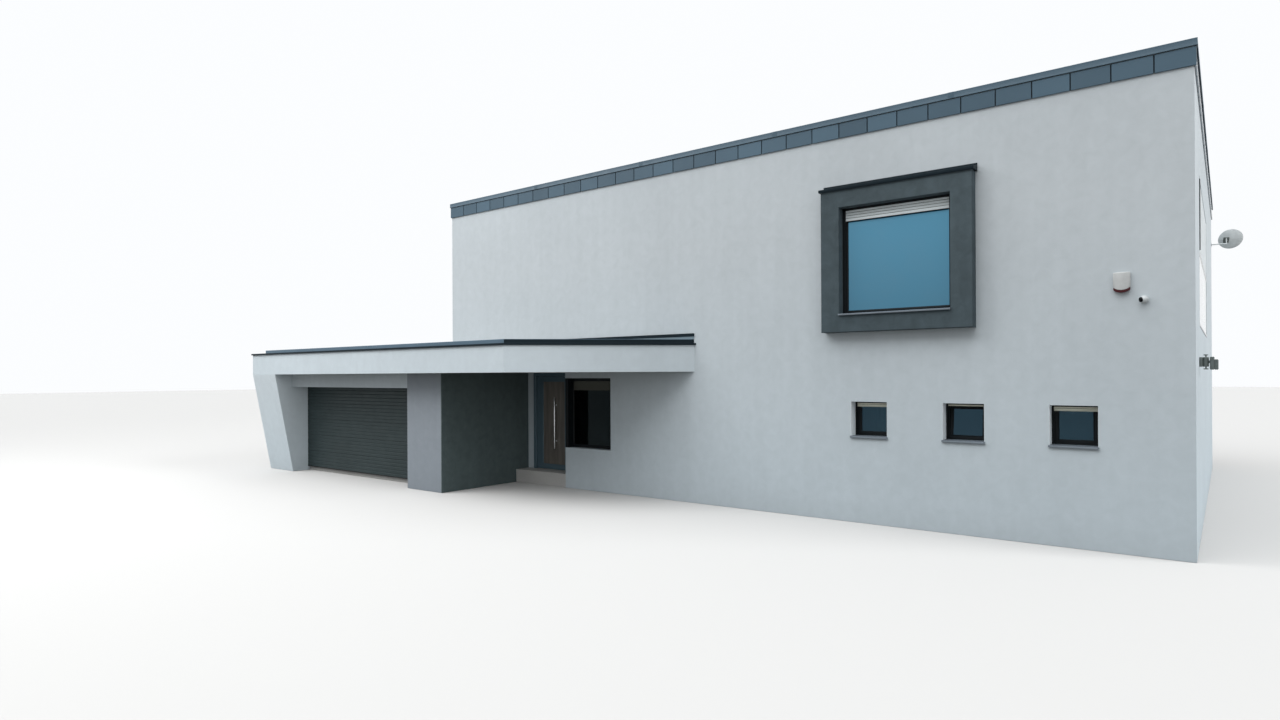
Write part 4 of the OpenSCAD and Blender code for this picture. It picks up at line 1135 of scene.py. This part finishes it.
def make_floodlight():
    """A wall box, a sensor drum on a pin between two collars, and the lamp's head with flat ribs."""
    (_, y0, z0), (_, y1, _) = corners_of("floodlight")
    y, z = (y0 + y1) / 2, z0 + 0.114
    pin = 0.078
    lamp = Shape()

    def at(px, py, pz):
        return (X_R + px, y + py, z + pz)

    lamp.box(at(0, -0.055, -0.07), at(0.04, 0.055, 0.07), 0.006)
    drum = [(0, 0.034), (0.004, 0.038), (0.136, 0.038), (0.14, 0.034)]
    lamp.lathe(at(0.075, 0, -0.07), UP, drum, 32)
    lamp.lathe(at(pin, 0, -0.11), UP, [(0, 0.009), (0.22, 0.009)], 16)
    for h in (-0.11, 0.095):
        lamp.lathe(at(pin, 0, h), UP, [(0, 0.027), (0.003, 0.03), (0.012, 0.03), (0.015, 0.027)], 32)
    lamp.box(at(0.105, -0.012, -0.02), at(0.13, 0.012, 0.02))
    lamp.box(at(0.124, -0.07, -0.114), at(0.178, 0.07, 0.074), 0.008)
    for k in range(6):
        low = -0.095 + k * 0.03
        lamp.box(at(0.128, 0.07, low), at(0.174, 0.07, low + 0.006), 0.001)
    lamp.box(at(0.178, -0.06, -0.114), at(0.222, 0.06, 0.036), 0.006)
    lamp.finish("floodlight_body", lamp_metal, "lamp_metal", "floodlight")
    glass = Shape()
    glass.box(at(0.2215, -0.05, -0.104), at(0.226, 0.05, 0.026))
    glass.finish("floodlight_glass", lamp_glass, "lamp_metal")


def make_dish_clamp():
    """The plate and cheeks that hold the bowl on its post."""
    place = Matrix.Translation((X_R + 0.316, Y_B - 0.3, BAND_Z - 0.628))
    place = place @ Matrix.Rotation(radians(12), 4, "Z") @ Matrix.Rotation(radians(-62), 4, "X")
    clamp = Shape()
    clamp.box((-0.062, -0.072, 0.026), (0.062, 0.072, 0.034), 0.004)
    for s in (-1, 1):
        clamp.box((s * 0.03, -0.055, -0.024), (s * 0.036, 0.055, 0.03))
        for v in (-0.03, 0.03):
            clamp.rod((s * 0.036, v, 0.0), (s * 0.044, v, 0.0), 0.008, 12)
    clamp.moved(place)
    clamp.finish("dish_clamp", lamp_metal, "lamp_metal")


make_siren()
make_wall_camera()
make_floodlight()
dress(dish_metal, "satellite_dish")
make_dish_clamp()


# Stage: a pale floor that reads lighter to the camera than it bounces, and a white surround

FLOOR = 150.0
FLOOR_Z = -0.004
AMBIENT = 0.62


def background_rays(tree):
    """1 for a ray that sees the stage as background: from the camera, off a surface or through glass."""
    path = add_node(tree, "ShaderNodeLightPath", {}).outputs
    reach = path["Is Camera Ray"]
    for ray in ("Is Glossy Ray", "Is Transmission Ray"):
        reach = add_node(tree, "ShaderNodeMath", {0: reach, 1: path[ray]}, operation="MAXIMUM").outputs[0]
    return reach


def make_floor():
    mesh = bpy.data.meshes.new("floor")
    corners = [(x * FLOOR, y * FLOOR, 0) for x, y in ((-1, -1), (1, -1), (1, 1), (-1, 1))]
    mesh.from_pydata(corners, [], [(0, 1, 2, 3)])
    floor = add_object("floor", mesh)
    floor.location.z = FLOOR_Z
    look = Look("floor", (0.13, 0.13, 0.125), 0.9)
    seen = (0.47, 0.47, 0.465, 1)
    feed(add_mix(look.tree, background_rays(look.tree), look.color, seen), look.shader["Base Color"])
    mesh.materials.append(look.material)


def make_world():
    world = bpy.data.worlds.new("studio")
    scene.world = world
    world.use_nodes = True
    tree = world.node_tree
    background = tree.nodes["Background"].inputs
    inputs = {"To Min": AMBIENT, "To Max": 1.0, "Value": background_rays(tree)}
    feed(add_node(tree, "ShaderNodeMapRange", inputs).outputs["Result"], background["Strength"])
    feed((0.97, 0.985, 1.0, 1), background["Color"])


def add_lamp(name, kind, energy, direction):
    """Hangs a lamp so that its light comes from a direction."""
    lamp = add_object(name, bpy.data.lights.new(name, kind))
    lamp.data.energy = energy
    lamp.rotation_euler = Vector(direction).to_track_quat("Z", "Y").to_euler()
    return lamp


def make_lamps():
    """Soft distant lamps, each with its strength, direction and angle, and a large square one on the left."""
    suns = (("key", 2.7, (-0.1, -0.47, 1.0), 66), ("fill", 0.5, (0.85, -0.45, 0.25), 60),
            ("back", 2.3, (1.0, 0.3, 0.5), 25))
    for name, strength, direction, angle in suns:
        add_lamp(name, "SUN", strength, direction).data.angle = radians(angle)
    place, target = Vector((-15, -17, 17)), Vector((-6, -7, 3))
    panel = add_lamp("left_panel", "AREA", 1900.0, place - target)
    panel.location = place
    panel.data.size = 10.0


make_floor()
make_world()
make_lamps()

scene.view_settings.view_transform = "Standard"
